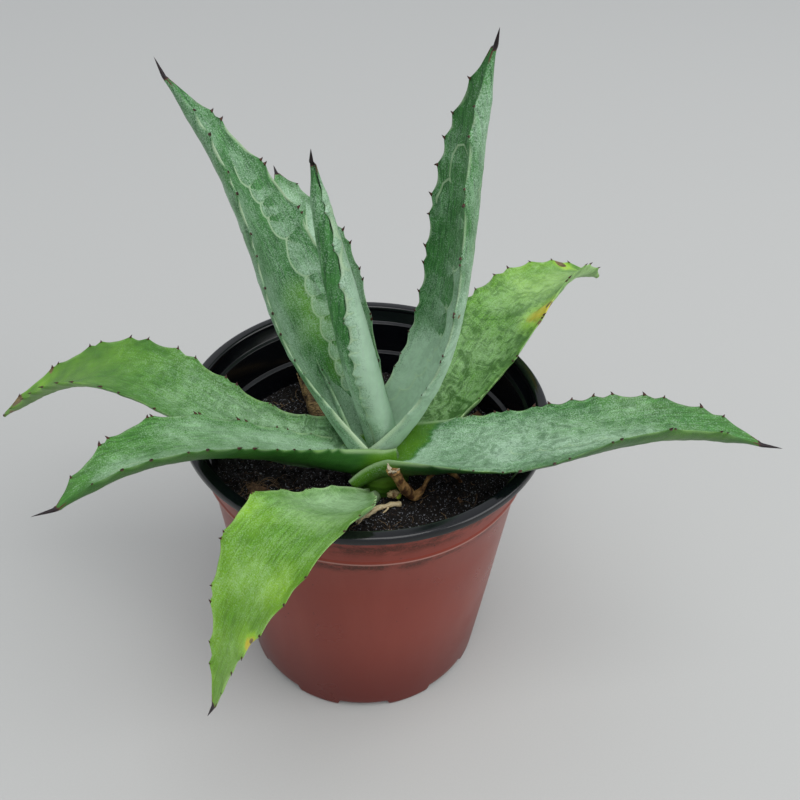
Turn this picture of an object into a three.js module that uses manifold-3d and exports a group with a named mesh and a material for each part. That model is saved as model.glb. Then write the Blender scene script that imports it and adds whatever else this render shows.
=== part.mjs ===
// A potted agave: nine toothed leaves round a short stem, in peat in a round two-colour pot.
// Millimetres, +Z up. The origin is the middle of the pot's underside, and -Y is the front.

import * as THREE from 'three';
import { mergeVertices } from 'three/addons/utils/BufferGeometryUtils.js';
import Module from 'manifold-3d';

const wasm = await Module();
wasm.setup();

// Pot: a thin-walled round pot with a rolled rim, a collar under it and drain channels below.
const POT_HEIGHT = 181;
const RIM_RADIUS = 100;
const RIM_WIDTH = 6.5;
const RIM_DEPTH = 5;
const COLLAR_TOP_RADIUS = 93.5;
const COLLAR_FOOT_RADIUS = 90;
const COLLAR_FOOT_HEIGHT = 150;
const BODY_TOP_RADIUS = 88;
const FOOT_RADIUS = 72.5;
const WALL = 1.6;
const FLOOR = 6;
const CHANNELS = 8;
const CHANNEL_DEPTH = 4.2;
const CHANNEL_INNER_RADIUS = 24;
const CHANNEL_INNER_WIDTH = 12;
const CHANNEL_OUTER_WIDTH = 32;
const DRAIN_HOLE_RADIUS = 4.5;
const DRAIN_HOLE_DISTANCE = 52;
const POT_SIDES = 48;

// Soil, stem and the gap that neighbouring pieces keep.
const SOIL_HEIGHT = 138;
const SOIL_RELIEF = 1.3;
const STEM_AT = new THREE.Vector3(9, -14, 0);
const STEM_RADIUS = 15;
const STEM_FOOT = 112;
const STEM_TOP = 158;
const CLEARANCE = 0.3;

// Leaves: how finely the centre line is stepped, and what they share unless a leaf says otherwise.
const CENTRE_STEPS = 72;
const SHEATH = 18;
const SHEATH_STEPS = 6;
const SHEATH_PITCH = 62;
const SHEATH_FOLD = 95;
const SHEATH_THINNING = 0.5;
const THICKNESS = [9, 6.5, 5, 4, 3.2];
const EDGE_THINNING = 0.8;
const FULL_OUTLINE = [0.62, 0.71, 0.87, 0.97, 0.9, 0.54, 0.07];
const SPINE_RADIUS = 1.7;
const TOOTH_HALF_BASE = 2.4;
const TOOTH_HEIGHT = 2.6;
const NOTCH_HEIGHT = 0.2;
const FIRST_TOOTH = 0.13;
const LAST_TOOTH = 0.95;
const TOOTH_JITTER = 0.16;
const TOOTH_CROWDING = 1.12;
const MARGIN_SHIFT = 0.28;

// Each leaf: where it leaves the stem, its length and full width, and, from base to tip, the
// compass heading, the pitch, the roll and the half angle of the gutter, all in degrees.
const LEAVES = [
  {
    name: 'spear_leaf', base: [5, -13, 160], length: 166, width: 40, teeth: 10, spine: 14,
    heading: [163, 164, 165, 166], pitch: [75, 75, 81, 87], roll: [88, 78, 62, 48],
    fold: [186, 188, 190, 188], spiral: 1.4, sheath: 8, outline: [0.9, 1.08, 1.15, 0.96, 0.72, 0.44, 0.06],
    colour: 0x6f9c86,
  },
  {
    name: 'back_leaf', base: [3, -7, 157], length: 175, width: 52, teeth: 12, spine: 11,
    heading: [121, 115, 112, 112], pitch: [55, 40, 28, 17], roll: [4, 9, 3, 0],
    fold: [84, 70, 56, 43], sheath: 10, colour: 0x7fa58c,
  },
  {
    name: 'tall_left_leaf', base: [2, -8, 157], length: 216, width: 56, teeth: 13, spine: 15,
    heading: [148, 143, 147, 155], pitch: [46, 61, 59, 47], roll: [-5, 3, -17, -27],
    fold: [78, 49, 45, 51], sheath: 12, colour: 0x7da38a,
  },
  {
    name: 'tall_right_leaf', base: [9, -9, 160], length: 221, width: 58, teeth: 13, spine: 14,
    heading: [17, 14, 12, 8], pitch: [50, 79, 87, 83], roll: [0, 2, 1, 5],
    fold: [77, 34, 37, 55], sheath: 12, colour: 0x7aa086,
  },
  {
    name: 'front_left_leaf', base: [-3, -18, 156], length: 171, width: 52, teeth: 12, spine: 14, sheath: 20,
    heading: [204, 205, 217, 226], pitch: [26, 28, 15, -18], roll: [-27, -20, -13, -18],
    fold: [64, 29, 36, 45], colour: 0x6f9b6c,
  },
  {
    name: 'back_right_leaf', base: [21, -7, 153], length: 202, width: 56, teeth: 12, spine: 11,
    heading: [41, 50, 49, 37], pitch: [24, 25, 4, -37], roll: [-5, -2, 18, 15],
    fold: [64, 49, 44, 36], sheath: 9, colour: 0x86ab5e,
  },
  {
    name: 'right_leaf', base: [21, -22, 162], length: 185, width: 61, teeth: 13, spine: 15, sheath: 27,
    heading: [-24, -11, -2, -12], pitch: [24, 19, 10, -14], roll: [10, 5, 19, 13],
    fold: [71, 18, 39, 49], colour: 0x74a07a,
  },
  {
    name: 'left_leaf', base: [-4, -13, 156], length: 262, width: 51, teeth: 14, spine: 12,
    heading: [206, 158, 153, 169], pitch: [13, 19, -27, -44], roll: [6, 4, 2, 5],
    fold: [66, 44, 38, 27], outline: [0.8, 0.73, 0.78, 0.88, 0.82, 0.5, 0.06], colour: 0x86ac58,
  },
  {
    name: 'front_leaf', base: [1, -36, 148], length: 202, width: 54, teeth: 13, spine: 13,
    heading: [250, 248, 225, 211], pitch: [38, 32, 38, -36, -67, -77], roll: [1, -7, -9, -5],
    fold: [49, 33, 24, 22], outline: [0.2, 0.59, 0.81, 0.96, 0.82, 0.4, 0.08], colour: 0x8cb45a,
  },
].map((leaf) => ({ sheath: SHEATH, outline: FULL_OUTLINE, spiral: 0, ...leaf }));

const radians = THREE.MathUtils.degToRad;

// A smooth curve through evenly spaced values, read at s from 0 to 1.
function along(values, s) {
  const last = values.length - 1;
  const x = THREE.MathUtils.clamp(s, 0, 1) * last;
  const i = Math.min(Math.floor(x), last - 1);
  const t = x - i;
  const [b, c] = [values[i], values[i + 1]];
  const a = i > 0 ? values[i - 1] : 2 * b - c;
  const d = i + 2 <= last ? values[i + 2] : 2 * c - b;
  return 0.5 * (2 * b + (c - a) * t + (2 * a - 5 * b + 4 * c - d) * t * t + (3 * b - a - 3 * c + d) * t ** 3);
}

// A closed geometry as a solid that can be joined and cut.
function solidOf(geometry) {
  const bare = geometry.clone();
  for (const name of Object.keys(bare.attributes)) {
    if (name !== 'position') bare.deleteAttribute(name);
  }
  const merged = mergeVertices(bare, 1e-4);
  const corners = [];
  for (let i = 0; i < merged.index.count; i += 3) {
    const [a, b, c] = [0, 1, 2].map((k) => merged.index.getX(i + k));
    if (a !== b && b !== c && c !== a) corners.push(a, b, c);
  }
  return new wasm.Manifold(new wasm.Mesh({
    numProp: 3,
    vertProperties: new Float32Array(merged.attributes.position.array),
    triVerts: new Uint32Array(corners),
  }));
}

// The largest body of a solid, as a geometry: loose scraps of a cut are dropped.
function geometryOf(solid) {
  const bodies = solid.decompose().sort((a, b) => b.volume() - a.volume());
  const mesh = bodies[0].getMesh();
  const geometry = new THREE.BufferGeometry();
  geometry.setAttribute('position', new THREE.BufferAttribute(new Float32Array(mesh.vertProperties), 3));
  geometry.setIndex(new THREE.BufferAttribute(new Uint32Array(mesh.triVerts), 1));
  geometry.computeVertexNormals();
  return geometry;
}

// A turned body: the profile is given as [radius, height] pairs.
function turned(profile, sides) {
  const points = profile.map(([radius, height]) => new THREE.Vector2(radius, height));
  return new THREE.LatheGeometry(points, sides).rotateX(Math.PI / 2);
}

// A geometry skinned over rings of points that all have the same length.
function skinned(rings, startCap, endCap, quadSplit) {
  const count = rings[0].length;
  const positions = rings.flat().flatMap((point) => point.toArray());
  const corners = [];
  for (let i = 0; i + 1 < rings.length; i++) {
    for (let j = 0; j < count; j++) {
      const k = (j + 1) % count;
      const [a, b, c, d] = [i * count + j, i * count + k, (i + 1) * count + k, (i + 1) * count + j];
      if (quadSplit(j)) corners.push(a, b, c, a, c, d);
      else corners.push(a, b, d, b, c, d);
    }
  }
  const offset = (rings.length - 1) * count;
  corners.push(...startCap, ...endCap.map((corner) => corner + offset));
  const geometry = new THREE.BufferGeometry();
  geometry.setAttribute('position', new THREE.Float32BufferAttribute(positions, 3));
  geometry.setIndex(corners);
  return geometry;
}

// ---------------------------------------------------------------------------------------------
// Leaves

// The way a leaf points, and its two cross directions, at s from base to tip.
function directions(leaf, s) {
  const intoSheath = Math.max(0, -s * leaf.length / leaf.sheath);
  const pitch = radians(THREE.MathUtils.lerp(along(leaf.pitch, s), SHEATH_PITCH, intoSheath));
  const heading = radians(along(leaf.heading, s));
  const roll = radians(along(leaf.roll, s));
  const forward = new THREE.Vector3(
    Math.cos(pitch) * Math.cos(heading), Math.cos(pitch) * Math.sin(heading), Math.sin(pitch));
  const inward = new THREE.Vector3(
    -Math.sin(pitch) * Math.cos(heading), -Math.sin(pitch) * Math.sin(heading), Math.cos(pitch));
  const sideways = new THREE.Vector3(Math.sin(heading), -Math.cos(heading), 0);
  return {
    forward,
    across: sideways.clone().multiplyScalar(Math.cos(roll)).addScaledVector(inward, Math.sin(roll)),
    upper: inward.clone().multiplyScalar(Math.cos(roll)).addScaledVector(sideways, -Math.sin(roll)),
  };
}

// The centre line as a function of s: it runs down into the sheath below s = 0.
function centreLine(leaf) {
  const step = leaf.length / CENTRE_STEPS;
  const blade = [new THREE.Vector3(...leaf.base)];
  for (let i = 0; i < CENTRE_STEPS; i++) {
    blade.push(blade[i].clone().addScaledVector(directions(leaf, (i + 0.5) / CENTRE_STEPS).forward, step));
  }
  const sheathStep = leaf.sheath / SHEATH_STEPS;
  const sheath = [blade[0]];
  for (let i = 0; i < SHEATH_STEPS; i++) {
    const s = -(i + 0.5) * sheathStep / leaf.length;
    sheath.push(sheath[i].clone().addScaledVector(directions(leaf, s).forward, -sheathStep));
  }
  return (s) => {
    const points = s < 0 ? sheath : blade;
    const x = s < 0 ? -s * leaf.length / sheathStep : s * CENTRE_STEPS;
    const i = Math.min(Math.floor(x), points.length - 2);
    return points[i].clone().lerp(points[i + 1], x - i);
  };
}

// A point on the leaf: u runs from margin to margin (-1 to 1), depth 0 is the upper face and
// depth 1 the underside, tooth lengthens the margin, and grow thickens the whole leaf.
function leafPoint(leaf, centre, s, u, depth, tooth, grow) {
  const intoSheath = Math.max(0, -s * leaf.length / leaf.sheath);
  const { across, upper } = directions(leaf, s);
  const halfWidth = leaf.width / 2 * along(leaf.outline, s);
  const foldAtBase = Math.max(leaf.fold[0], SHEATH_FOLD);
  const fold = radians(THREE.MathUtils.lerp(along(leaf.fold, s), foldAtBase, intoSheath));
  const angle = fold * u;
  const radius = halfWidth / fold;
  const thickness = along(THICKNESS, s) * (1 - SHEATH_THINNING * intoSheath) * (1 - EDGE_THINNING * u * u);
  const outward = leaf.spiral * u + (depth ? thickness + grow : -grow);
  const edge = Math.sign(u) * (Math.abs(u) === 1 ? tooth + grow : 0);
  const x = (radius + outward) * Math.sin(angle) + edge * Math.cos(angle);
  const z = radius - (radius + outward) * Math.cos(angle) + edge * Math.sin(angle);
  return centre(s).addScaledVector(across, x).addScaledVector(upper, z);
}

// Where the teeth sit: closer together near the base, and never quite evenly.
function toothPlaces(leaf) {
  return Array.from({ length: leaf.teeth }, (_, k) => {
    const even = (k + 0.5 + TOOTH_JITTER * Math.sin(2.7 * k + leaf.length)) / leaf.teeth;
    return FIRST_TOOTH + (LAST_TOOTH - FIRST_TOOTH) * even ** TOOTH_CROWDING;
  });
}

const SECTION = [-1, -0.55, 0, 0.55, 1];

// One leaf in one piece: sheath, blade with its toothed margins, and the spine at its end.
function leafSolid(leaf, grow) {
  const centre = centreLine(leaf);
  const halfTooth = TOOTH_HALF_BASE / leaf.length;
  const bottom = -leaf.sheath / leaf.length;
  const stations = [bottom, bottom / 2, 0, 0.06].map((s) => ({ s, tooth: 0, shift: 0 }));
  toothPlaces(leaf).forEach((s, k) => {
    const height = TOOTH_HEIGHT * Math.min(1, 0.45 + 2.2 * (s - FIRST_TOOTH));
    const shift = (k % 2 ? MARGIN_SHIFT : -MARGIN_SHIFT) * (LAST_TOOTH - FIRST_TOOTH) / leaf.teeth;
    stations.push({ s: s - halfTooth, tooth: NOTCH_HEIGHT, shift });
    stations.push({ s, tooth: height, shift });
    stations.push({ s: s + halfTooth, tooth: NOTCH_HEIGHT, shift });
  });
  stations.push({ s: 0.985, tooth: 0, shift: 0 }, { s: 1, tooth: 0, shift: 0 });

  const rings = stations.map(({ s, tooth, shift }) => {
    const place = (u) => (u === 1 ? Math.min(s + shift, 1) : s);
    const upperFace = SECTION.map((u) => leafPoint(leaf, centre, place(u), u, 0, tooth, grow));
    const underside = SECTION.map((u) => leafPoint(leaf, centre, place(u), u, 1, tooth, grow));
    return [...upperFace, ...underside.reverse()];
  });

  const { forward, across, upper } = directions(leaf, 1);
  const middle = leafPoint(leaf, centre, 1, 0, 0, 0, 0).lerp(leafPoint(leaf, centre, 1, 0, 1, 0, 0), 0.5);
  const spineRings = [[1.5, 1], [0.5 * leaf.spine, 0.62], [leaf.spine, 0.14]];
  for (const [distance, share] of spineRings) {
    const radius = SPINE_RADIUS * share + grow;
    rings.push(Array.from({ length: 10 }, (_, k) => {
      const angle = radians(162 - 36 * k);
      return middle.clone().addScaledVector(forward, distance + (share < 0.2 ? grow : 0))
        .addScaledVector(across, radius * Math.cos(angle)).addScaledVector(upper, radius * Math.sin(angle));
    }));
  }
  const startCap = [0, 1, 2, 3].flatMap((j) => [j, 9 - j, 8 - j, j, 8 - j, j + 1]);
  const endCap = [1, 2, 3, 4, 5, 6, 7, 8].flatMap((j) => [0, j, j + 1]);
  return solidOf(skinned(rings, startCap, endCap, (j) => j < 5));
}

// ---------------------------------------------------------------------------------------------
// Pot

function potSolid() {
  const rimInner = RIM_RADIUS - RIM_WIDTH;
  const profile = [
    [0, 0], [FOOT_RADIUS - 1.5, 0], [FOOT_RADIUS, 1.5], [BODY_TOP_RADIUS, COLLAR_FOOT_HEIGHT],
    [COLLAR_FOOT_RADIUS, COLLAR_FOOT_HEIGHT + 1.5], [COLLAR_TOP_RADIUS, POT_HEIGHT - RIM_DEPTH],
    [RIM_RADIUS - 1, POT_HEIGHT - RIM_DEPTH], [RIM_RADIUS, POT_HEIGHT - RIM_DEPTH + 1.5],
    [RIM_RADIUS - 0.4, POT_HEIGHT - 1.5], [RIM_RADIUS - 2, POT_HEIGHT],
    [rimInner + 1, POT_HEIGHT - 0.4], [rimInner, POT_HEIGHT - 2],
    [COLLAR_TOP_RADIUS - WALL - 1, POT_HEIGHT - 8], [COLLAR_TOP_RADIUS - WALL - 3, POT_HEIGHT - 9.5],
    [COLLAR_FOOT_RADIUS - WALL, COLLAR_FOOT_HEIGHT + 1.5], [BODY_TOP_RADIUS - WALL, COLLAR_FOOT_HEIGHT],
    [FOOT_RADIUS - WALL, FLOOR], [0, FLOOR],
  ];
  let pot = solidOf(turned(profile, POT_SIDES));
  const channel = new THREE.Shape([
    new THREE.Vector2(CHANNEL_INNER_RADIUS, -CHANNEL_INNER_WIDTH / 2),
    new THREE.Vector2(FOOT_RADIUS + 4, -CHANNEL_OUTER_WIDTH / 2),
    new THREE.Vector2(FOOT_RADIUS + 4, CHANNEL_OUTER_WIDTH / 2),
    new THREE.Vector2(CHANNEL_INNER_RADIUS, CHANNEL_INNER_WIDTH / 2),
  ]);
  for (let i = 0; i < CHANNELS; i++) {
    const turn = 2 * Math.PI * i / CHANNELS;
    const trench = new THREE.ExtrudeGeometry(channel, { depth: CHANNEL_DEPTH + 1, bevelEnabled: false });
    trench.translate(0, 0, -1).rotateZ(turn);
    const hole = new THREE.CylinderGeometry(DRAIN_HOLE_RADIUS, DRAIN_HOLE_RADIUS, 3 * FLOOR, 12);
    hole.rotateX(Math.PI / 2).translate(DRAIN_HOLE_DISTANCE, 0, FLOOR).rotateZ(turn);
    pot = pot.subtract(solidOf(trench)).subtract(solidOf(hole));
  }
  return pot;
}

// ---------------------------------------------------------------------------------------------
// Soil, stem and what lies on the soil

function innerWallRadius(height) {
  return THREE.MathUtils.mapLinear(
    height, FLOOR, COLLAR_FOOT_HEIGHT, FOOT_RADIUS - WALL, BODY_TOP_RADIUS - WALL);
}

// Peat with a gently uneven top.
function soilSolid() {
  const edge = innerWallRadius(SOIL_HEIGHT) - CLEARANCE;
  const rings = [0, 14, 28, 42, 56, 70];
  const foot = FLOOR + CLEARANCE;
  const profile = [
    [0, foot], [innerWallRadius(foot) - CLEARANCE, foot], [edge, SOIL_HEIGHT],
    ...rings.reverse().map((radius) => [radius, SOIL_HEIGHT]),
  ];
  const geometry = turned(profile, 36);
  const position = geometry.attributes.position;
  for (let i = 0; i < position.count; i++) {
    const [x, y, z] = [position.getX(i), position.getY(i), position.getZ(i)];
    const inside = THREE.MathUtils.smoothstep(edge - Math.hypot(x, y), 0, 12);
    const relief = Math.sin(x * 0.13 + 1) * Math.cos(y * 0.11) + 0.5 * Math.sin(x * 0.31 - y * 0.27);
    if (z > SOIL_HEIGHT - 1) position.setZ(i, z + SOIL_RELIEF * inside * relief);
  }
  return solidOf(geometry);
}

// The short stem that the leaves clasp: widest at the soil, which it stands in, and domed above.
function stemSolid(grow) {
  const radius = STEM_RADIUS + grow;
  const profile = [
    [0, STEM_FOOT - grow], [0.5 * radius, STEM_FOOT - grow], [0.8 * radius, STEM_FOOT + 12],
    [radius, STEM_TOP - 16], [0.95 * radius, STEM_TOP - 8], [0.75 * radius, STEM_TOP - 2 + grow],
    [0.4 * radius, STEM_TOP + grow], [0, STEM_TOP + grow],
  ];
  return solidOf(turned(profile, 20).translate(STEM_AT.x, STEM_AT.y, 0));
}

// A root or runner: a round section swept along a smooth curve, its radius a function of t.
function rootSolid(points, radiusAt, steps, sides, grow) {
  const curve = new THREE.CatmullRomCurve3(points.map((point) => new THREE.Vector3(...point)));
  const frames = curve.computeFrenetFrames(steps, false);
  const rings = Array.from({ length: steps + 1 }, (_, i) => {
    const centre = curve.getPointAt(i / steps);
    const radius = radiusAt(i / steps) + grow;
    return Array.from({ length: sides }, (_, k) => {
      const angle = 2 * Math.PI * k / sides;
      return centre.clone().addScaledVector(frames.normals[i], radius * Math.cos(angle))
        .addScaledVector(frames.binormals[i], radius * Math.sin(angle));
    });
  });
  const fan = Array.from({ length: sides - 2 }, (_, k) => [0, k + 1, k + 2]);
  return solidOf(skinned(rings, fan.flatMap(([a, b, c]) => [a, c, b]), fan.flat(), () => true));
}

const STOLON_PATH = [
  [13, -24, 154], [15, -27, 150], [18.5, -29, 145], [24, -30.5, 141.5], [29, -29, 142.5],
  [32, -25, 146], [37, -21, 147], [44, -18, 143], [50, -16, 136],
];
const stolonSolid = (grow) => rootSolid(
  STOLON_PATH, (t) => 2.5 - 0.9 * Math.sqrt(t) + 0.25 * Math.sin(26 * t), 22, 8, grow);

const MAIN_ROOT_PATH = [
  [17, -33, 142], [15, -36, 140], [9, -38, 139.4], [3.5, -38.8, 138.6], [-3, -38, 136],
];
const SIDE_ROOT_PATH = [
  [10, -37.6, 139.6], [5, -41, 139.2], [1, -44, 139], [-3, -47.5, 137.6], [-6, -50, 136],
];
const ROOT_KNOB_AT = [16, -33, 142];
const ROOT_KNOB_RADIUS = 2.4;
const BUD_AT = [18, -34, 144.5];
const BUD_RADIUS = 1.2;
const BUD_LENGTH = 4.5;

function paleRootsSolid(grow) {
  const knob = new THREE.IcosahedronGeometry(ROOT_KNOB_RADIUS + grow, 1).scale(1.4, 1, 0.9);
  knob.translate(...ROOT_KNOB_AT);
  const bud = new THREE.ConeGeometry(BUD_RADIUS + grow, BUD_LENGTH + grow, 6).rotateX(Math.PI / 2);
  bud.translate(...BUD_AT);
  return solidOf(knob).add(solidOf(bud))
    .add(rootSolid(MAIN_ROOT_PATH, (t) => 1.35 - 0.5 * t, 10, 6, grow))
    .add(rootSolid(SIDE_ROOT_PATH, (t) => 1.2 - 0.45 * t, 9, 6, grow));
}

const DRY_LEAF_PATH = [[0, -1, 146], [-14, 12, 144.5], [-27, 30, 143], [-35, 50, 143.5], [-40, 70, 146]];
const dryLeafSolid = (grow) => rootSolid(
  DRY_LEAF_PATH, (t) => 2.2 + 2.2 * Math.sin(Math.PI * t) ** 0.7 + 0.3 * Math.sin(23 * t), 16, 9, grow);

// ---------------------------------------------------------------------------------------------
// The plant in its pot

const agave = new THREE.Group();

function addPiece(name, solid, colour, roughness) {
  const material = new THREE.MeshStandardMaterial({ color: colour, roughness, metalness: 0 });
  const mesh = new THREE.Mesh(geometryOf(solid), material);
  mesh.name = name;
  agave.add(mesh);
}

addPiece('pot', potSolid(), 0x7d4a41, 0.5);
addPiece('stem', stemSolid(0), 0x6b8a34, 0.6);

// Inner leaves keep their shape, and each outer one is cut where it would cross them.
let taken = stemSolid(CLEARANCE);
for (const leaf of LEAVES) {
  addPiece(leaf.name, leafSolid(leaf, 0).subtract(taken), leaf.colour, 0.55);
  taken = taken.add(leafSolid(leaf, CLEARANCE));
}

addPiece('stolon', stolonSolid(0).subtract(taken), 0x6b4a30, 0.8);
taken = taken.add(stolonSolid(CLEARANCE));
addPiece('pale_roots', paleRootsSolid(0).subtract(taken), 0xd6cbb2, 0.7);
taken = taken.add(paleRootsSolid(CLEARANCE));
addPiece('dry_leaf', dryLeafSolid(0).subtract(taken), 0x9a7f57, 0.9);
taken = taken.add(dryLeafSolid(CLEARANCE));
addPiece('soil', soilSolid().subtract(taken), 0x1d1612, 0.95);

export default agave;
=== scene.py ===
"""A potted agave: nine toothed leaves round a short stem, in peat in a round nursery pot.

Lengths are millimetres until a point is placed, which is in metres. -Y is the front.
"""

import math
import random

import bmesh
import bpy
import numpy as np
from mathutils import Matrix, Vector, noise


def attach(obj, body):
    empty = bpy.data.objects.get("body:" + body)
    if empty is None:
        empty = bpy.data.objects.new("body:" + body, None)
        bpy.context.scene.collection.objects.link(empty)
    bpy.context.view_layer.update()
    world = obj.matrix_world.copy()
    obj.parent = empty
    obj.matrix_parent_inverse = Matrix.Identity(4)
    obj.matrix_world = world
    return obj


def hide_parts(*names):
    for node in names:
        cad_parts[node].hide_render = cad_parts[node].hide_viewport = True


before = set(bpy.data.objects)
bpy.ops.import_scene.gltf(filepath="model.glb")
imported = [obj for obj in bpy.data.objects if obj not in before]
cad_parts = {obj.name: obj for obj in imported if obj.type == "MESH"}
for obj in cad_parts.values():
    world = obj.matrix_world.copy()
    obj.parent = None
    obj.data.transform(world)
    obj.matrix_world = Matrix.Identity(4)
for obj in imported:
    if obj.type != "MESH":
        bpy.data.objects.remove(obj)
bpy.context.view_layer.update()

# ---------------------------------------------------------------------------------------
# Pot. A nursery pot drawn in one piece from a two-ply sheet of polystyrene, black inside
# and terracotta outside. Its edge is rolled to a lip over a stepped collar, and its foot
# is pressed into drain channels with a punched hole in each.

MM = 0.001

POT_HEIGHT = 181
LIP_OUTER = 100
LIP_WIDTH = 6.5
LIP_DEPTH = 5
LIP_ROUNDING = 3
LIP_SQUARENESS = 0.6
LIP_STEPS = 16
COLLAR_TOP_RADIUS = 93.5
COLLAR_FOOT_RADIUS = 90
COLLAR_FOOT = 150
RIDGE_PROFILE = ((-0.2, 0.3), (0.7, 1.2), (0.6, 2.4), (0.2, 3.6))
BODY_TOP_RADIUS = 88
FOOT_RADIUS = 72.5
FOOT_EDGE = 1.5
WALL = 1.6
FLOOR = 6
BELOW_FLOOR = FLOOR - 0.5
CREASE_ANGLE = 14
CREASE_WIDTH = 0.7
POT_SEGMENTS = 288
CHANNELS = 8
CHANNEL_DEPTH = 4.2
CHANNEL_START = 24
CHANNEL_HALF_WIDTHS = (6, 16)
CHANNEL_FADE = 12
DRAIN_HOLE_RADIUS = 4.5
DRAIN_HOLE_DISTANCE = 52

# The wall is never quite round. Each sway: its size, how often it repeats around, and its slant.
SWAYS = ((0.12, 3, 31), (0.07, 7, -17))

# Marks round the wall: how high the painted shade reaches up from the foot, darkening and reddening
# it, and for each other mark its height, its reach up and down, the reach of its full middle, its
# strength and how its edge fades.
FOOT_SHADE_TOP = 90
WALL_MARKS = {
    "lip_stain": (166, 10.5, 2.1, 0.9, "SMOOTHSTEP"),
    "ridge_stain": (146.6, 6.8, 1.36, 0.9, "SMOOTHSTEP"),
    # The pale line along the ridge is a painted highlight.
    "rubbed_ridge": (151.7, 0.7, 0.2, 0.5, "LINEAR"),
}


def colour(code):
    """An sRGB hex colour as linear red, green, blue and alpha."""
    channels = [int(code[i:i + 2], 16) / 255 for i in (1, 3, 5)]
    return [c / 12.92 if c <= 0.04045 else ((c + 0.055) / 1.055) ** 2.4 for c in channels] + [1.0]


def add(material, kind, **values):
    """One node of a material. A name in small letters is a setting of the node. Any other is an input,
    and takes a number, a colour, or the node or socket that feeds it."""
    node = material.node_tree.nodes.new("ShaderNode" + kind)
    for name, value in sorted(values.items(), key=lambda pair: not pair[0].islower()):
        if name.islower():
            setattr(node, name, value)
            continue
        sockets = [s for s in node.inputs if s.enabled]
        socket = next(s for s in sockets if name in (s.name.replace(" ", "_"), s.identifier))
        if isinstance(value, bpy.types.Node):
            value = next(s for s in value.outputs if s.enabled)
        if isinstance(value, bpy.types.NodeSocket):
            material.node_tree.links.new(value, socket)
        else:
            socket.default_value = value
    return node


def start_material(name):
    """An empty node material, with the object's own coordinates ready to use. They are metres, so a
    pattern with a scale of 1000 has a grain of a millimetre."""
    material = bpy.data.materials.new(name)
    material.use_nodes = True
    material.node_tree.nodes.clear()
    return material, add(material, "TexCoord").outputs["Object"]


def finish_material(material, **surface):
    """The surface shader, with its inputs, and the output of a material."""
    add(material, "OutputMaterial", Surface=add(material, "BsdfPrincipled", **surface))
    return material


def finish_mesh(bm, name, materials=()):
    """A finished shape as a mesh with its materials."""
    mesh = bpy.data.meshes.new(name)
    bm.to_mesh(mesh)
    bm.free()
    for material in materials:
        mesh.materials.append(material)
    return mesh


def put_in_scene(name, data):
    """A new object in the scene, for a mesh, a curve, a light or a camera."""
    thing = bpy.data.objects.new(name, data)
    bpy.context.scene.collection.objects.link(thing)
    return thing


def place_piece(bm, name, materials, replaced=()):
    """A piece of the part, smooth shaded and riding on its only body."""
    for face in bm.faces:
        face.smooth = True
    piece = put_in_scene(name, finish_mesh(bm, name, materials))
    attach(piece, "root")
    if replaced:
        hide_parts(*replaced)
    return piece


def smooth_step(x, low, high):
    """0 below low, 1 above high, and smooth between; low may be the greater."""
    t = np.clip((np.asarray(x, float) - low) / (high - low), 0, 1)
    return t * t * (3 - 2 * t)


# Black polystyrene, drawn against the mould: glossy, with dust that lies on the ledges.
black_plastic, at = start_material("black_polystyrene")
dust = add(black_plastic, "TexNoise", Vector=at, Scale=900, Detail=3, Roughness=0.7)
dusty = add(black_plastic, "MapRange", Value=dust, From_Min=0.66, From_Max=0.74)
smear = add(black_plastic, "TexNoise", Vector=at, Scale=55, Detail=5, Roughness=0.6)
black = add(black_plastic, "Mix", Factor=dusty, A=colour("#06080C"), B=colour("#2E2D2B"), data_type="RGBA")
gloss = add(black_plastic, "MapRange", Value=smear, From_Min=0.3, From_Max=0.75, To_Min=0.11, To_Max=0.24)
mould = add(black_plastic, "Bump", Height=smear, Strength=0.15, Distance=0.0006)
finish_material(black_plastic, Base_Color=black, Roughness=gloss, Normal=mould, Specular_IOR_Level=0.45)

# Terracotta-brown polystyrene: satin, faintly streaked where the sheet stretched, and with painted
# shade that darkens and reddens it towards the foot. Gritty dark stains follow the lip and the ridge,
# where water has stood. A pale line is painted along the ridge as its highlight, and soil has left specks.
brown_plastic, at = start_material("terracotta_polystyrene")
height = add(brown_plastic, "SeparateXYZ", Vector=at).outputs["Z"]
drawn = add(brown_plastic, "Mapping", Vector=at, Scale=(1, 1, 0.12))
stretch = add(brown_plastic, "TexNoise", Vector=drawn, Scale=60, Detail=4, Roughness=0.55)
cloud = add(brown_plastic, "TexNoise", Vector=at, Scale=14, Detail=4, Roughness=0.6)
streaks = add(brown_plastic, "MapRange", Value=stretch, From_Min=0.45, From_Max=0.8, To_Max=0.35)
# Painted shade: from 90 mm down, the wall turns darker and redder towards the foot.
foot_shade = add(brown_plastic, "MapRange", Value=height, From_Min=FOOT_SHADE_TOP * MM, From_Max=0.0, To_Max=0.9,
               interpolation_type="SMOOTHSTEP")
coats = [(cloud, "#843A2D"), (streaks, "#8E483B"), (foot_shade, "#580E02")]

flat = add(brown_plastic, "Mapping", Vector=at, Scale=(1, 1, 3))
patch = add(brown_plastic, "TexNoise", Vector=flat, Scale=48, Detail=8, Roughness=0.78)
patch = add(brown_plastic, "MapRange", Value=patch, From_Min=0.43, From_Max=0.53)
grit = add(brown_plastic, "TexNoise", Vector=at, Scale=800, Detail=3, Roughness=0.6)
grit = add(brown_plastic, "MapRange", Value=grit, From_Min=0.38, From_Max=0.52, To_Min=0.55)
patch = add(brown_plastic, "Math", Value=patch, Value_001=grit, operation="MULTIPLY")
marks = {}
for name, (mark_height, reach, middle, strength, fade) in WALL_MARKS.items():
    above = add(brown_plastic, "Math", Value=height, Value_001=mark_height * MM, operation="SUBTRACT")
    away = add(brown_plastic, "Math", Value=above, operation="ABSOLUTE")
    marks[name] = add(brown_plastic, "MapRange", Value=away, From_Min=reach * MM, From_Max=middle * MM,
                      To_Max=strength, interpolation_type=fade)
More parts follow.
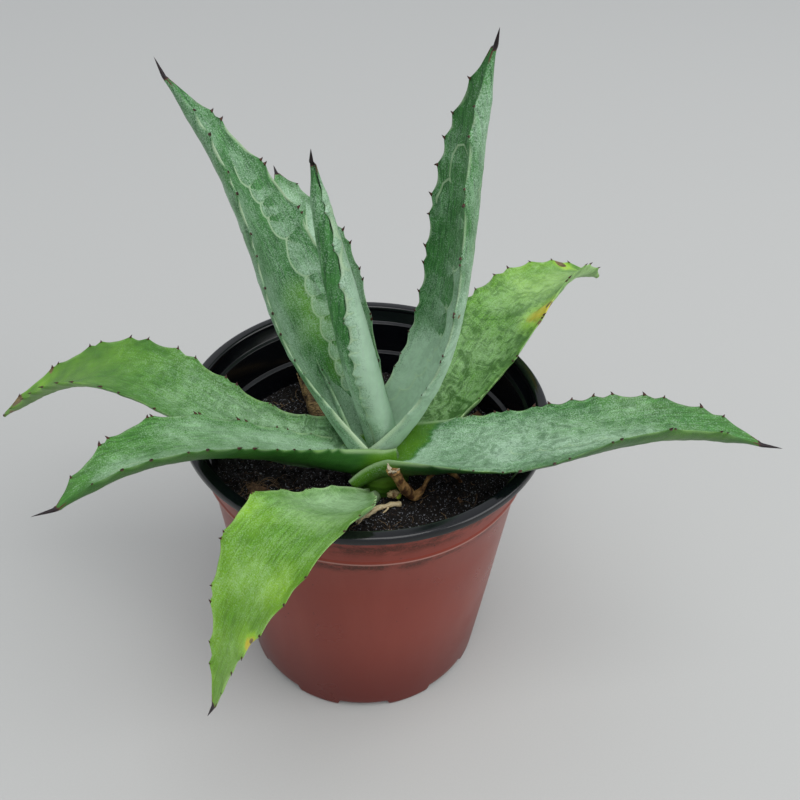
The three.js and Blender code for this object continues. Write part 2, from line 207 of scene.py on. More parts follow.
for name in ("lip_stain", "ridge_stain"):
    stain = add(brown_plastic, "Math", Value=marks[name], Value_001=patch, operation="MULTIPLY")
    coats.append((stain, "#421600"))
speck = add(brown_plastic, "TexNoise", Vector=at, Scale=420, Detail=2, Roughness=0.5)
speck = add(brown_plastic, "MapRange", Value=speck, From_Min=0.74, From_Max=0.78)
# The pale band at the ridge is a painted highlight; the specks are soil.
coats += [(marks["rubbed_ridge"], "#B8958A"), (speck, "#2A1712")]
brown = colour("#742E24")
for amount, over in coats:
    brown = add(brown_plastic, "Mix", Factor=amount, A=brown, B=colour(over), data_type="RGBA")
gloss = add(brown_plastic, "MapRange", Value=cloud, From_Min=0.35, From_Max=0.7, To_Min=0.26, To_Max=0.38)
mould = add(brown_plastic, "Bump", Height=stretch, Strength=0.15, Distance=0.0005)
finish_material(brown_plastic, Base_Color=brown, Roughness=gloss, Normal=mould, Specular_IOR_Level=0.22)


def wall_radius(height):
    """The outer radius of the tapered wall at a height."""
    return FOOT_RADIUS + (BODY_TOP_RADIUS - FOOT_RADIUS) * (height - FOOT_EDGE) / (COLLAR_FOOT - FOOT_EDGE)


def pot_profile():
    """Radius and height along one side of the wall, from the middle below to the middle inside."""
    points = [(0, 0)] + [(r, 0) for r in range(18, 70, 2)] + [(FOOT_RADIUS - FOOT_EDGE, 0)]
    points += [(wall_radius(z), z) for z in (FOOT_EDGE, 3, 4.5, 6, 8, 10, 12, 30, 60, 90, 120, COLLAR_FOOT)]
    points += [(COLLAR_FOOT_RADIUS + out, COLLAR_FOOT + up) for out, up in RIDGE_PROFILE]
    under_lip = POT_HEIGHT - LIP_DEPTH
    points += [(COLLAR_TOP_RADIUS - 1, under_lip - 8), (COLLAR_TOP_RADIUS, under_lip)]
    points += [(LIP_OUTER - 1.2, under_lip)]
    for k in range(LIP_STEPS + 1):
        turn = math.radians(-10 + 190 * k / LIP_STEPS)
        out = math.copysign(abs(math.cos(turn)) ** LIP_SQUARENESS, math.cos(turn))
        up = math.copysign(abs(math.sin(turn)) ** LIP_SQUARENESS, math.sin(turn))
        points.append((LIP_OUTER - LIP_WIDTH / 2 + LIP_WIDTH / 2 * out,
                       POT_HEIGHT - LIP_ROUNDING + LIP_ROUNDING * up))
    inner_top = COLLAR_TOP_RADIUS - WALL
    points += [(inner_top - 0.6, POT_HEIGHT - 9.2), (inner_top - 2.6, POT_HEIGHT - 10)]
    points += [(COLLAR_FOOT_RADIUS - WALL + 0.4, COLLAR_FOOT + 1.2)]
    return points + [(BODY_TOP_RADIUS - WALL, COLLAR_FOOT + 0.4), (FOOT_RADIUS - WALL, FLOOR), (0, FLOOR)]


def turned_shape(profile, middle, steps):
    """A closed shape turned from points of radius and height about an upright axis."""
    bm = bmesh.new()
    x, y = middle
    ring = [bm.verts.new(((x + r) * MM, y * MM, z * MM)) for r, z in profile]
    edges = [bm.edges.new(pair) for pair in zip(ring, ring[1:])]
    bmesh.ops.spin(bm, geom=ring + edges, cent=(x * MM, y * MM, 0), axis=(0, 0, 1), dvec=(0, 0, 0),
                   angle=2 * math.pi, steps=steps, use_merge=True, use_duplicate=False)
    bmesh.ops.remove_doubles(bm, verts=bm.verts, dist=1e-6)
    bmesh.ops.recalc_face_normals(bm, faces=bm.faces)
    return bm


bm = turned_shape(pot_profile(), (0, 0), POT_SEGMENTS)
folds = [e for e in bm.edges if len(e.link_faces) == 2]
creases = [e for e in folds if e.calc_face_angle() > math.radians(CREASE_ANGLE)]
bmesh.ops.bevel(bm, geom=creases, offset=CREASE_WIDTH * MM, segments=3, profile=0.5, affect="EDGES",
                clamp_overlap=True, material=-1)

# The channels rise from the underside and fade out up the wall, as a drawn sheet does.
for vertex in bm.verts:
    r, z = math.hypot(vertex.co.x, vertex.co.y) / MM, vertex.co.z / MM
    outside = z < BELOW_FLOOR or r > wall_radius(z) - WALL / 2
    if outside and z < CHANNEL_FADE and r > 1:
        turn = math.atan2(vertex.co.y, vertex.co.x) * CHANNELS / (2 * math.pi)
        turn = (turn - round(turn)) * 2 * math.pi / CHANNELS
        out, aside = r * math.cos(turn), abs(r * math.sin(turn))
        half = np.interp(out, (CHANNEL_START, FOOT_RADIUS + 4), CHANNEL_HALF_WIDTHS)
        inside = smooth_step(half - aside, -1, 1) * smooth_step(out - CHANNEL_START, -1, 1)
        vertex.co.z += float(CHANNEL_DEPTH * inside * (1 - max(z, 0) / CHANNEL_FADE) ** 2) * MM
    around = math.atan2(vertex.co.y, vertex.co.x)
    sway = sum(size * math.sin(times * around + z / slant) for size, times, slant in SWAYS)
    if r > 40:
        vertex.co.xy *= 1 + sway / r
bm.normal_update()

# Outside and below the lip the sheet shows its terracotta ply.
for face in bm.faces:
    centre = face.calc_center_median() / MM
    looks_out = face.normal.xy.dot(centre.xy.normalized()) > 0.1 or face.normal.z < -0.5
    below_lip = centre.z < POT_HEIGHT - LIP_DEPTH + 0.1
    face.material_index = 1 if below_lip and (looks_out or centre.z < BELOW_FLOOR) else 0
pot = place_piece(bm, "nursery_pot", [black_plastic, brown_plastic], ["pot"])

# The drain holes are punched through the floor of the channels.
bm = bmesh.new()
for k in range(CHANNELS):
    spot = Matrix.Rotation(2 * math.pi * k / CHANNELS, 4, "Z") @ Matrix.Translation(
        (DRAIN_HOLE_DISTANCE * MM, 0, FLOOR * MM))
    bmesh.ops.create_cone(bm, cap_ends=True, segments=32, radius1=DRAIN_HOLE_RADIUS * MM,
                          radius2=DRAIN_HOLE_RADIUS * MM, depth=4 * FLOOR * MM, matrix=spot)
punch = put_in_scene("punch", finish_mesh(bm, "punch"))
cut = pot.modifiers.new("drain_holes", "BOOLEAN")
cut.operation = "DIFFERENCE"
cut.object = punch
cut.solver = "MANIFOLD"
punched = pot.evaluated_get(bpy.context.evaluated_depsgraph_get())
punched = bpy.data.meshes.new_from_object(punched)
pot.modifiers.clear()
pot.data = punched
bpy.data.objects.remove(punch)

# ---------------------------------------------------------------------------------------
# Soil. Moist black-brown peat, filled to below the collar and sunk a little at the wall,
# with loose crumbs, fibres of the peat moss, and a few chips and flakes of bark on it.

SOIL_HEIGHT = 138
SOIL_RELIEF = 1.3
SOIL_GAP = 0.3
SOIL_SINK = 1.2
SOIL_SINK_WIDTH = 12
SOIL_GRID = 190
SOIL_CHANCE = random.Random(17)


def inner_radius(height):
    """The inner radius of the tapered wall at a height."""
    return wall_radius(height) - WALL


def soil_top(x, y):
    """The height of the peat at a place: slow swells, lumps of 6 and 2 mm, crumbs of 1 and 0.5 mm,
    and an edge that has sunk along the wall."""
    edge = inner_radius(SOIL_HEIGHT) - SOIL_GAP - math.hypot(x, y)
    swell = math.sin(x * 0.13 + 1) * math.cos(y * 0.11) + 0.5 * math.sin(x * 0.31 - y * 0.27)
    lumps = noise.noise(Vector((x, y, 3)) * 0.16) * 1.5 + noise.noise(Vector((x, y, 9)) * 0.42) * 1.1
    crumbs = noise.noise(Vector((x, y, 5))) * 0.55 + noise.noise(Vector((x, y, 7)) * 2.1) * 0.3
    inside = float(smooth_step(edge, 0, SOIL_SINK_WIDTH))
    return SOIL_HEIGHT + SOIL_RELIEF * inside * swell + lumps + crumbs - SOIL_SINK * (1 - inside)


# Peat: dark and damp, with paler dry crumbs and pale blue-grey specks painted in as glints of wet
# grains. It is matt, and its grain is 2 mm in clods of 11 mm.
peat, at = start_material("moist_peat")
grain = add(peat, "TexNoise", Vector=at, Scale=520, Detail=6, Roughness=0.7)
clods = add(peat, "TexNoise", Vector=at, Scale=90, Detail=3, Roughness=0.6)
dry = add(peat, "MapRange", Value=grain, From_Min=0.56, From_Max=0.74, To_Max=0.8)
# Painted glints: pale blue-grey specks in the colour stand for light caught by wet grains.
painted_glint = add(peat, "TexNoise", Vector=at, Scale=1000, Detail=1)
painted_glint = add(peat, "MapRange", Value=painted_glint, From_Min=0.63, From_Max=0.7)
earth = colour("#0B0908")
for amount, over in ((clods, "#1C1613"), (dry, "#67523F"), (painted_glint, "#9A9DA4")):
    earth = add(peat, "Mix", Factor=amount, A=earth, B=colour(over), data_type="RGBA")
rough = add(peat, "MapRange", Value=clods, To_Min=0.7, To_Max=0.95)
pitted = add(peat, "Bump", Height=grain, Strength=0.9, Distance=0.0012)
finish_material(peat, Base_Color=earth, Roughness=rough, Normal=pitted, IOR=1.4)

bm = bmesh.new()
bmesh.ops.create_grid(bm, x_segments=SOIL_GRID, y_segments=SOIL_GRID, size=1)
top_edge = inner_radius(SOIL_HEIGHT) - SOIL_GAP
for vertex in bm.verts:
    x, y = vertex.co.x, vertex.co.y
    x, y = x * math.sqrt(1 - y * y / 2) * top_edge, y * math.sqrt(1 - x * x / 2) * top_edge
    vertex.co = Vector((x, y, soil_top(x, y))) * MM
rim = [e for e in bm.edges if e.is_boundary]
side = bmesh.ops.extrude_edge_only(bm, edges=rim)["geom"]
foot_height = FLOOR + SOIL_GAP
for vertex in [g for g in side if isinstance(g, bmesh.types.BMVert)]:
    r = math.hypot(vertex.co.x, vertex.co.y)
    vertex.co.xy *= (inner_radius(foot_height) - SOIL_GAP) * MM / r
    vertex.co.z = foot_height * MM
bmesh.ops.holes_fill(bm, edges=[e for e in bm.edges if e.is_boundary], sides=0)
bmesh.ops.recalc_face_normals(bm, faces=bm.faces)

# Loose crumbs: many small broken lumps, half sunk in the surface.
CRUMBS = 1500
SMALLEST_CRUMB = 0.45
CRUMB_SPREAD = 1.5
for _ in range(CRUMBS):
    reach = (top_edge - 2) * math.sqrt(SOIL_CHANCE.random())
    turn = SOIL_CHANCE.uniform(0, 2 * math.pi)
    x, y = reach * math.cos(turn), reach * math.sin(turn)
    size = SMALLEST_CRUMB + CRUMB_SPREAD * SOIL_CHANCE.random() ** 3
    spot = Matrix.Translation(Vector((x, y, soil_top(x, y) + 0.2 * size)) * MM)
    spin = Matrix.Rotation(SOIL_CHANCE.uniform(0, 6), 4, "Z") @ Matrix.Diagonal(
        (1, SOIL_CHANCE.uniform(0.5, 1), SOIL_CHANCE.uniform(0.4, 0.9), 1))
    lump = bmesh.ops.create_icosphere(bm, subdivisions=1, radius=size * MM, matrix=spot @ spin)
    for vertex in lump["verts"]:
        vertex.co += Vector([SOIL_CHANCE.uniform(-0.2, 0.2) for _ in range(3)]) * size * MM
place_piece(bm, "peat_surface", [peat], ["soil"])


def natural_material(name, roughness, ground, *coats):
    """A dull natural material: coats of noise over a ground colour. A coat may give its hue, the part
    of its noise that shows, how that is stretched, and the strength and depth in metres of the bumps
    that it raises. Its other values, in capitals, are inputs of its noise."""
    material, at = start_material(name)
    tone, surface = colour(ground), {}
    for coat in coats:
        place = add(material, "Mapping", Vector=at, **coat["stretch"]) if "stretch" in coat else at
        inputs = {key: value for key, value in coat.items() if not key.islower()}
        pattern = shown = add(material, "TexNoise", Vector=place, **inputs)
        if "shows" in coat:
            low, high = coat["shows"]
            shown = add(material, "MapRange", Value=pattern, From_Min=low, From_Max=high)
        if "hue" in coat:
            tone = add(material, "Mix", Factor=shown, A=tone, B=colour(coat["hue"]), data_type="RGBA")
        if "bumps" in coat:
            strength, deep = coat["bumps"]
            surface["Normal"] = add(material, "Bump", Height=pattern, Strength=strength, Distance=deep)
    return finish_material(material, Base_Color=tone, Roughness=roughness, **surface)


# Fibres: thin curled strands of moss and fine roots, straw-brown when dry and finely ribbed.
fibre = natural_material("dry_moss_fibre", 0.8, "#3A281B",
                         dict(hue="#A08460", shows=(0.35, 0.68), Scale=60, Detail=1),
                         dict(bumps=(0.4, 0.0002), Scale=2500, Detail=1))


def add_strand(curve, x, y, length, heading, curl, thickness, rise):
    """A strand that lies on the peat: it starts at a place, bends as it runs and arches a little."""
    spline = curve.splines.new("POLY")
    spline.points.add(FIBRE_STEPS)
    for k, point in enumerate(spline.points):
        share = k / FIBRE_STEPS
        point.co = (*(Vector((x, y, soil_top(x, y) + 0.15 + rise * math.sin(math.pi * share))) * MM), 1)
        point.radius = thickness * (1 - 0.7 * abs(2 * share - 1) ** 3)
        heading += curl * SOIL_CHANCE.uniform(0.2, 1.6) / FIBRE_STEPS
        x += length / FIBRE_STEPS * math.cos(heading)
        y += length / FIBRE_STEPS * math.sin(heading)


strands = bpy.data.curves.new("moss_fibres", "CURVE")
strands.dimensions = "3D"
strands.bevel_depth = 1 * MM
strands.bevel_resolution = 1
strands.use_fill_caps = True
FIBRES = 420
FIBRE_STEPS = 9
FIBRE_LENGTHS = (3, 15)
FIBRE_REACH = 78

# Some of the fibres lie in tufts, each with its place and spread.
TUFT_SHARE = 0.4
TUFTS = [(-66, -20, 9), (-58, -27, 8), (-52, 38, 14), (62, 30, 10)]
for _ in range(FIBRES):
    if SOIL_CHANCE.random() < TUFT_SHARE:
        x, y, spread = SOIL_CHANCE.choice(TUFTS)
        x, y = SOIL_CHANCE.gauss(x, spread / 1.6), SOIL_CHANCE.gauss(y, spread / 1.6)
    else:
        x = SOIL_CHANCE.uniform(-FIBRE_REACH, FIBRE_REACH)
        y = SOIL_CHANCE.uniform(-FIBRE_REACH, FIBRE_REACH)
    length = SOIL_CHANCE.uniform(*FIBRE_LENGTHS)
    if math.hypot(x, y) + length < top_edge - 1:
        add_strand(strands, x, y, length, SOIL_CHANCE.uniform(0, 6.3), SOIL_CHANCE.uniform(-3, 3),
                   SOIL_CHANCE.uniform(0.05, 0.16), SOIL_CHANCE.uniform(0, 1.4))
piece = put_in_scene("moss_fibres", strands)
strands.materials.append(fibre)
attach(piece, "root")

# Bark chips: thin broken flakes that have dried paler than the peat, with dark layers, laid flat.
chip_bark = natural_material("bark_chip", 0.82, "#6B4A2C",
                             dict(hue="#B08E66", shows=(0.42, 0.6), Scale=9, Detail=0),
                             dict(hue="#3A281B", shows=(0.4, 0.66), stretch={"Scale": (1, 1, 4)},
                                  bumps=(0.8, 0.0006), Scale=380, Detail=5))

# Each chip: place, length, width, thickness and turn in degrees.
CHIPS = [
    (-60, 45, 9, 3, 1.2, 8), (-58, -27, 15, 6, 1.4, -32), (66, 39, 7, 4, 2.2, 40),
    (-46, -30, 3, 2.5, 1.5, 0), (58, 43, 4, 3, 1.5, 70), (-20, -60, 5, 2.5, 1.2, 25),
    (52, -30, 4, 2, 1.1, 120), (30, 62, 6, 3, 1.5, 15), (-8, 70, 5, 4, 1.6, 60),
    (-72, 10, 5, 3, 1.3, 100), (74, -8, 4, 3, 1.4, 10), (36, -62, 3.5, 2.5, 1.2, 50),
]
CHIP_TILT = 0.16
CHIP_ROUGHNESS = 0.9
CHIP_SEED = 23
bm = bmesh.new()
for x, y, length, width, thick, turn in CHIPS:
    size = Matrix.Diagonal((length * MM, width * MM, thick * MM, 1))
    spot = Matrix.Translation(Vector((x, y, soil_top(x, y) + 0.35 * thick)) * MM)
    lean = Matrix.Rotation(math.radians(turn), 4, "Z") @ Matrix.Rotation(CHIP_TILT, 4, "X")
    cube = bmesh.ops.create_cube(bm, size=1, matrix=spot @ lean @ size)
    sides = list(dict.fromkeys(e for v in cube["verts"] for e in v.link_edges))
    bmesh.ops.subdivide_edges(bm, edges=sides, cuts=4, use_grid_fill=True)
noise.seed_set(CHIP_SEED)
for vertex in bm.verts:
    vertex.co += noise.noise_vector(vertex.co * 420) * CHIP_ROUGHNESS * MM
place_piece(bm, "bark_chips", [chip_bark])

# ---------------------------------------------------------------------------------------
# Stem. The short swollen stock that the leaves clasp: living green flesh, ringed by the
# scars of older leaves. It stands in the peat, and only its foot shows, at the front.

STEM_AT = (9, -14)
STEM_RADIUS = 15
STEM_FOOT = 112
STEM_FOOT_RADIUS = 7.5
STEM_TAPER = 12
STEM_TOP = 158
STEM_DOME = 14
STEM_STEPS = 30
STEM_SEGMENTS = 64

# Stem flesh: a living green under a smooth skin, ringed by leaf scars that lie close together,
# with painted shade low down by the peat and painted light above it.
STEM_SHADE = (139, 152)
stock, at = start_material("stem_flesh")
height = add(stock, "SeparateXYZ", Vector=at).outputs["Z"]
ringed = add(stock, "Mapping", Vector=at, Scale=(0.2, 0.2, 1))
rings = add(stock, "TexNoise", Vector=ringed, Scale=300, Detail=3)
flesh = add(stock, "Mix", Factor=rings, A=colour("#1F4410"), B=colour("#4E7E1C"), data_type="RGBA")
# Painted light: the flesh turns lighter from 139 mm up to 152 mm.
top_light = add(stock, "MapRange", Value=height, From_Min=STEM_SHADE[0] * MM, From_Max=STEM_SHADE[1] * MM,
                interpolation_type="SMOOTHSTEP")
flesh = add(stock, "Mix", Factor=top_light, A=flesh, B=colour("#6C9A2C"), data_type="RGBA")
scars = add(stock, "Bump", Height=rings, Strength=0.4, Distance=0.0008)
finish_material(stock, Base_Color=flesh, Roughness=0.42, Normal=scars)

profile = [(0, STEM_FOOT), (STEM_FOOT_RADIUS, STEM_FOOT)]
for k in range(STEM_STEPS):
    height = STEM_FOOT + STEM_TAPER + (STEM_TOP - STEM_FOOT - STEM_TAPER) * k / (STEM_STEPS - 1)
    dome = math.sqrt(max(0, 1 - (max(0, height - STEM_TOP + STEM_DOME) / (STEM_DOME + 0.5)) ** 2))
    foot_taper = min(1, 0.8 + 0.2 * k / 12)
    profile.append((STEM_RADIUS * dome * foot_taper * (1 + 0.02 * math.sin(1.9 * k)), height))
profile.append((0, STEM_TOP))
bm = turned_shape(profile, STEM_AT, STEM_SEGMENTS)
place_piece(bm, "stem_stock", [stock], ["stem"])

# ---------------------------------------------------------------------------------------
# Leaves. Thick, stiff, guttered blades of living flesh under a waxy bloom, each grown in
# one piece with horny teeth along its margins and a spine at its tip. The margins of the
# leaves that it lay against in the bud are printed on its faces as scalloped lines.

CENTRE_STEPS = 72
SHEATH = 18
SHEATH_STEPS = 6
SHEATH_PITCH = 62
SHEATH_FOLD = 95
SHEATH_THINNING = 0.5
THICKNESS = [9, 6.5, 5, 4, 3.2]
EDGE_THINNING = 0.8
FULL_OUTLINE = [0.62, 0.71, 0.87, 0.97, 0.9, 0.54, 0.07]
SPINE_RADIUS = 1.35
FIRST_TOOTH = 0.13
LAST_TOOTH = 0.95
TOOTH_LIMIT = 0.975
TOOTH_JITTER = 0.16
TOOTH_CROWDING = 1.12
MARGIN_SHIFT = 0.28
MOUND_HEIGHT = 2.4
THORN_LENGTH = 2.3
THORN_RADIUS = 0.62
THORN_ROWS = 7
THORN_SINK = 0.9
THORN_HOOK = 0.9
PRINT_RELIEF = 0.3
LEAF_AROUND = 112
LEAF_ROWS = 300
SPINE_ROWS = 16

# Each leaf from base to tip, as in the frame: where it leaves the stem, its length and full
# width, and its heading, pitch, roll and half angle of gutter in degrees. lean is how its spine
# turns aside and up. bloom is how much wax is left along it, yellow how far it has aged, and rub
# how mottled it is. A printed line is a face, the way its arcs bulge, the side that lost its
# wax, and the cusps between the arcs from the tip down, as shares of the length and the half
# width. A mark is a kind, such a place, and a radius.
LEAVES = [
    dict(name="spear_leaf", base=(9.3, -5, 160), length=166, width=40, teeth=15, spine=10,
         lean=(0, 0.3), sheath=8, heading=[179, 180, 181, 182], pitch=[76, 77, 78, 83],
         roll=[104, 94, 78, 64], fold=[186, 188, 190, 188], seam=[12, 11, 3, -18, -42, -40],
         spiral=0.85, outline=[0.6, 0.75, 0.9, 0.85, 0.7, 0.44, 0.06], plump=0.8, thorn=0.4, edge=0.6,
         bloom=[1.3, 1.3, 1.2, 1, 0.7], yellow=0, rub=[0.05, 0.1, 0.2], shaded=0.9, under_wax=0,
         prints=[(1, 1, 0, [(0.9, 0.5), (0.84, 0.58), (0.77, 0.66), (0.68, 0.76)]),
                 (1, 1, 0, [(0.64, 0.95), (0.6, 0.945), (0.555, 0.94), (0.51, 0.935), (0.465, 0.93),
                            (0.42, 0.93), (0.375, 0.925), (0.33, 0.925), (0.285, 0.92), (0.24, 0.92),
                            (0.2, 0.92), (0.16, 0.92)])]),
    dict(name="back_leaf", base=(3, -7, 157), length=175, width=52, teeth=12, spine=9.5, lean=(0.07, 0),
         sheath=10, heading=[121, 115, 112, 112], pitch=[55, 40, 28, 17], roll=[4, 9, 3, 0],
         fold=[84, 70, 56, 43], bloom=[0.75, 0.65, 0.6, 0.5], yellow=0.1, rub=[0.2, 0.3, 0.1],
         prints=[(0, -1, -1, [(0.8, 0.4), (0.66, 0.5), (0.55, 0.52), (0.43, 0.55), (0.33, 0.5),
                              (0.24, 0.45)]),
                 (0, 1, 1, [(0.75, -0.4), (0.62, -0.5), (0.5, -0.55), (0.4, -0.55), (0.3, -0.5)])]),
    dict(name="tall_left_leaf", base=(2, -8, 157), length=216, width=56, teeth=13, spine=12.5,
         lean=(0.1, 0.2), sheath=12, heading=[148, 143, 147, 155], pitch=[46, 61, 59, 47],
         roll=[-5, 3, -17, -27], fold=[78, 49, 45, 51], edge=0.8,
         bloom=[0.8, 0.45, 0.3, 0.22, 0.15, 0.12], yellow=0, rub=[0, 0.1, 0.2],
         marks=[("halo", 0.33, 0.3, 18), ("halo", 0.42, 0.15, 14), ("halo", 0.22, 0.4, 12)],
         prints=[(0, -1, -1, [(0.76, 0.3), (0.708, 0.37), (0.662, 0.4), (0.625, 0.36), (0.56, 0.51),
                              (0.458, 0.52), (0.408, 0.47), (0.35, 0.48), (0.285, 0.46), (0.235, 0.42),
                              (0.19, 0.4), (0.15, 0.36)]),
                 (0, -1, 0, [(0.86, 0.05), (0.76, -0.55), (0.73, -0.6), (0.69, -0.66), (0.62, -0.74),
                             (0.55, -0.78), (0.49, -0.8), (0.42, -0.82), (0.34, -0.8), (0.26, -0.76)]),
                 (1, -1, -1, [(0.7, 0.4), (0.6, 0.5), (0.52, 0.55), (0.42, 0.6), (0.33, 0.58),
                              (0.22, 0.5)]),
                 (1, 1, 1, [(0.72, -0.4), (0.63, -0.5), (0.51, -0.55), (0.43, -0.6), (0.31, -0.58)])]),
    dict(name="tall_right_leaf", base=(9, -3, 160), length=221, width=58, teeth=13, spine=11,
         lean=(0.26, 0.05), sheath=12, heading=[10, 7, 5, 0], pitch=[50, 79, 87, 83],
         roll=[-4, -5, -6, -2], fold=[77, 34, 37, 55],
         outline=[0.62, 0.71, 0.87, 0.97, 0.92, 0.64, 0.08], edge=0.45,
         bloom=[1.5, 1.5, 0.8, 0.28, 0, 0, 0.1], yellow=0, rub=[0.1, 0.3, 0.2], shaded=0.7,
         marks=[("nick", 0.46, 0.86, 1.5)],
         prints=[(0, 1, -1, [(0.738, 0.2), (0.625, 0.05), (0.497, -0.12), (0.395, -0.1), (0.323, 0)]),
                 (0, 1, 0, [(0.323, 0), (0.28, -0.1), (0.24, -0.19), (0.18, -0.35), (0.118, -0.56),
                            (0.07, -0.7)]),
                 (0, 0, 0, [(0.77, -0.3), (0.785, -0.5), (0.775, -0.69), (0.748, -0.77), (0.7, -0.74),
                            (0.685, -0.66)]),
                 (0, 0, 0, [(0.685, -0.66), (0.69, -0.74), (0.672, -0.86), (0.62, -0.9)]),
                 (0, 1, 0, [(0.46, 0.55), (0.4, 0.62), (0.335, 0.7), (0.27, 0.7), (0.203, 0.66),
                            (0.14, 0.55)]),
                 (1, -1, 0, [(0.9, 0.3), (0.845, 0.4), (0.74, 0.58), (0.62, 0.66), (0.5, 0.68),
                             (0.41, 0.66), (0.32, 0.6), (0.22, 0.5)]),
                 (1, 1, 1, [(0.7, -0.4), (0.58, -0.5), (0.47, -0.6), (0.38, -0.6), (0.28, -0.5)])]),
    dict(name="front_left_leaf", base=(-3, -18, 156), length=171, width=52, teeth=12, spine=12.5,
         lean=(0.25, 0.46), sheath=25, sheath_pitch=-12, sheath_turn=-50, heading=[204, 205, 217, 226],
         pitch=[26, 28, 15, -18], roll=[-27, -20, -13, -18], fold=[64, 29, 36, 45],
         bloom=[0.85, 0.65, 0.4, 0.15, 0], yellow=0.1, rub=[0.1, 0.3, 0.35], under_wax=-1.3,
         fresh_to=14,
         prints=[(0, 1, 0, [(0.85, -0.3), (0.74, -0.5), (0.63, -0.6), (0.54, -0.62)])]),
    dict(name="back_right_leaf", base=(21, -7, 153), length=202, width=56, teeth=12, spine=7,
         lean=(-0.5, 0.3), sheath=9, heading=[41, 50, 49, 37], pitch=[24, 25, 4, -37],
         roll=[-5, -2, 18, 15], fold=[64, 49, 44, 36], bloom=[0.5, 0.45, 0.35, 0.4, 0.25], yellow=0.3,
         rub=[1, 1, 0.8, 0.35, 0.25], wrinkle=2.4,
         marks=[("burn", 0.56, 0.9, 3), ("burn", 0.49, 0.95, 2), ("gold", 0.53, 0.8, 17),
                ("halo", 0.72, -0.1, 34), ("burn", 0.86, -0.85, 3.6), ("burn", 0.93, -0.3, 3.6),
                ("gold", 0.87, -0.6, 9)]),
    dict(name="right_leaf", base=(21, -22, 162), length=185, width=61, teeth=13, spine=13,
         lean=(0, 0.19), sheath=34, sheath_pitch=35, sheath_turn=45, heading=[-24, -11, -2, -12],
         pitch=[24, 19, 10, -14], roll=[-4, 5, 19, 13], fold=[71, 18, 39, 49],
         bloom=[0.9, 0.58, 0.4, 0.3, 0.1], yellow=0.25, rub=[0.2, 0.6, 0.5, 0.2], under_wax=-1.2,
         bare_base=(0.035, -0.065), wrinkle=1.4,
         prints=[(0, 1, 0, [(0.68, 0.12), (0.58, 0.16), (0.49, 0.2), (0.41, 0.22), (0.33, 0.2)])]),
    dict(name="left_leaf", base=(-4, -6, 156), length=262, width=51, teeth=14, spine=7, lean=(0.6, 0),
         heading=[216, 158, 153, 169], pitch=[13, 19, -27, -44], roll=[6, 4, 2, 5],
         fold=[66, 44, 38, 27], outline=[0.8, 0.73, 0.78, 0.88, 0.82, 0.5, 0.06],
         bloom=[0.6, 0.5, 0.1, -0.5, -1], yellow=0.5, rub=[0.9, 0.5, 0.2, 0.1], under_wax=0,
         wrinkle=1.5,
         marks=[("burn", 0.95, 0.2, 7), ("halo", 0.84, 0.7, 14), ("burn", 0.83, 0.98, 2.5)]),
    dict(name="front_leaf", base=(1, -36, 148), length=202, width=54, teeth=13, spine=11,
         lean=(0.16, 0.2), heading=[250, 248, 225, 211], pitch=[38, 32, 38, -36, -67, -77],
         roll=[1, -7, -9, -5], fold=[49, 33, 24, 22], outline=[0.1, 0.52, 0.81, 0.96, 0.82, 0.4, 0.08],
         thorn=0.7, bloom=[0.8, 0.95, 0.45, 0.2, 0.12, 0.1], yellow=0.45,
         rub=[0.3, 0.35, 0.25, 0.1, 0.1], wrinkle=1.3, fresh_to=26,
         marks=[("gold", 0.74, -0.92, 6), ("burn", 0.735, -0.93, 1.6), ("halo", 0.62, -0.7, 14),
                ("halo", 0.52, 0.75, 14), ("halo", 0.75, -0.6, 10)]),
]

# What a leaf is where the table says nothing.
PLAIN_LEAF = dict(sheath=SHEATH, sheath_pitch=SHEATH_PITCH, sheath_turn=0, seam=[0, 0], spiral=0,
                  outline=FULL_OUTLINE, plump=1, thorn=1, edge=0.15, shaded=0, under_wax=0.15,
                  bare_base=(-9, 0), wrinkle=1, fresh_to=9, marks=[], prints=[])
LEAVES = [{**PLAIN_LEAF, **leaf} for leaf in LEAVES]


def along(values, s):
    """A smooth curve through evenly spaced values, read at s from 0 to 1."""
    values = np.asarray(values, float)
    last = len(values) - 1
    x = np.clip(s, 0, 1) * last
    i = np.minimum(np.floor(x).astype(int), last - 1)
    t = x - i
    b, c = values[i], values[i + 1]
    a = np.where(i > 0, values[i - 1], 2 * b - c)
    d = np.where(i + 2 <= last, values[np.minimum(i + 2, last)], 2 * c - b)
    bend, twist = 2 * a - 5 * b + 4 * c - d, 3 * b - a - 3 * c + d
    return 0.5 * (2 * b + (c - a) * t + bend * t ** 2 + twist * t ** 3)


def into_sheath(leaf, s):
    """0 over the blade, and up to 1 at the foot of the sheath, where s is below 0."""
    return np.maximum(0, -s * leaf["length"] / leaf["sheath"])


def directions(leaf, s):
    """The way a leaf points, and its two cross directions, at shares of its length."""
    deep = into_sheath(leaf, s)
    pitch = np.radians(along(leaf["pitch"], s) * (1 - deep) + leaf["sheath_pitch"] * deep)
    heading = np.radians(along(leaf["heading"], s) + leaf["sheath_turn"] * deep)
    roll = np.radians(along(leaf["roll"], s))
    flat, steep = np.cos(pitch), np.sin(pitch)
    east, north = np.cos(heading), np.sin(heading)
    forward = np.stack([flat * east, flat * north, steep], -1)
    inward = np.stack([-steep * east, -steep * north, flat], -1)
    sideways = np.stack([north, -east, 0 * heading], -1)
    turn, lift = np.cos(roll)[:, None], np.sin(roll)[:, None]
    return forward, sideways * turn + inward * lift, inward * turn - sideways * lift


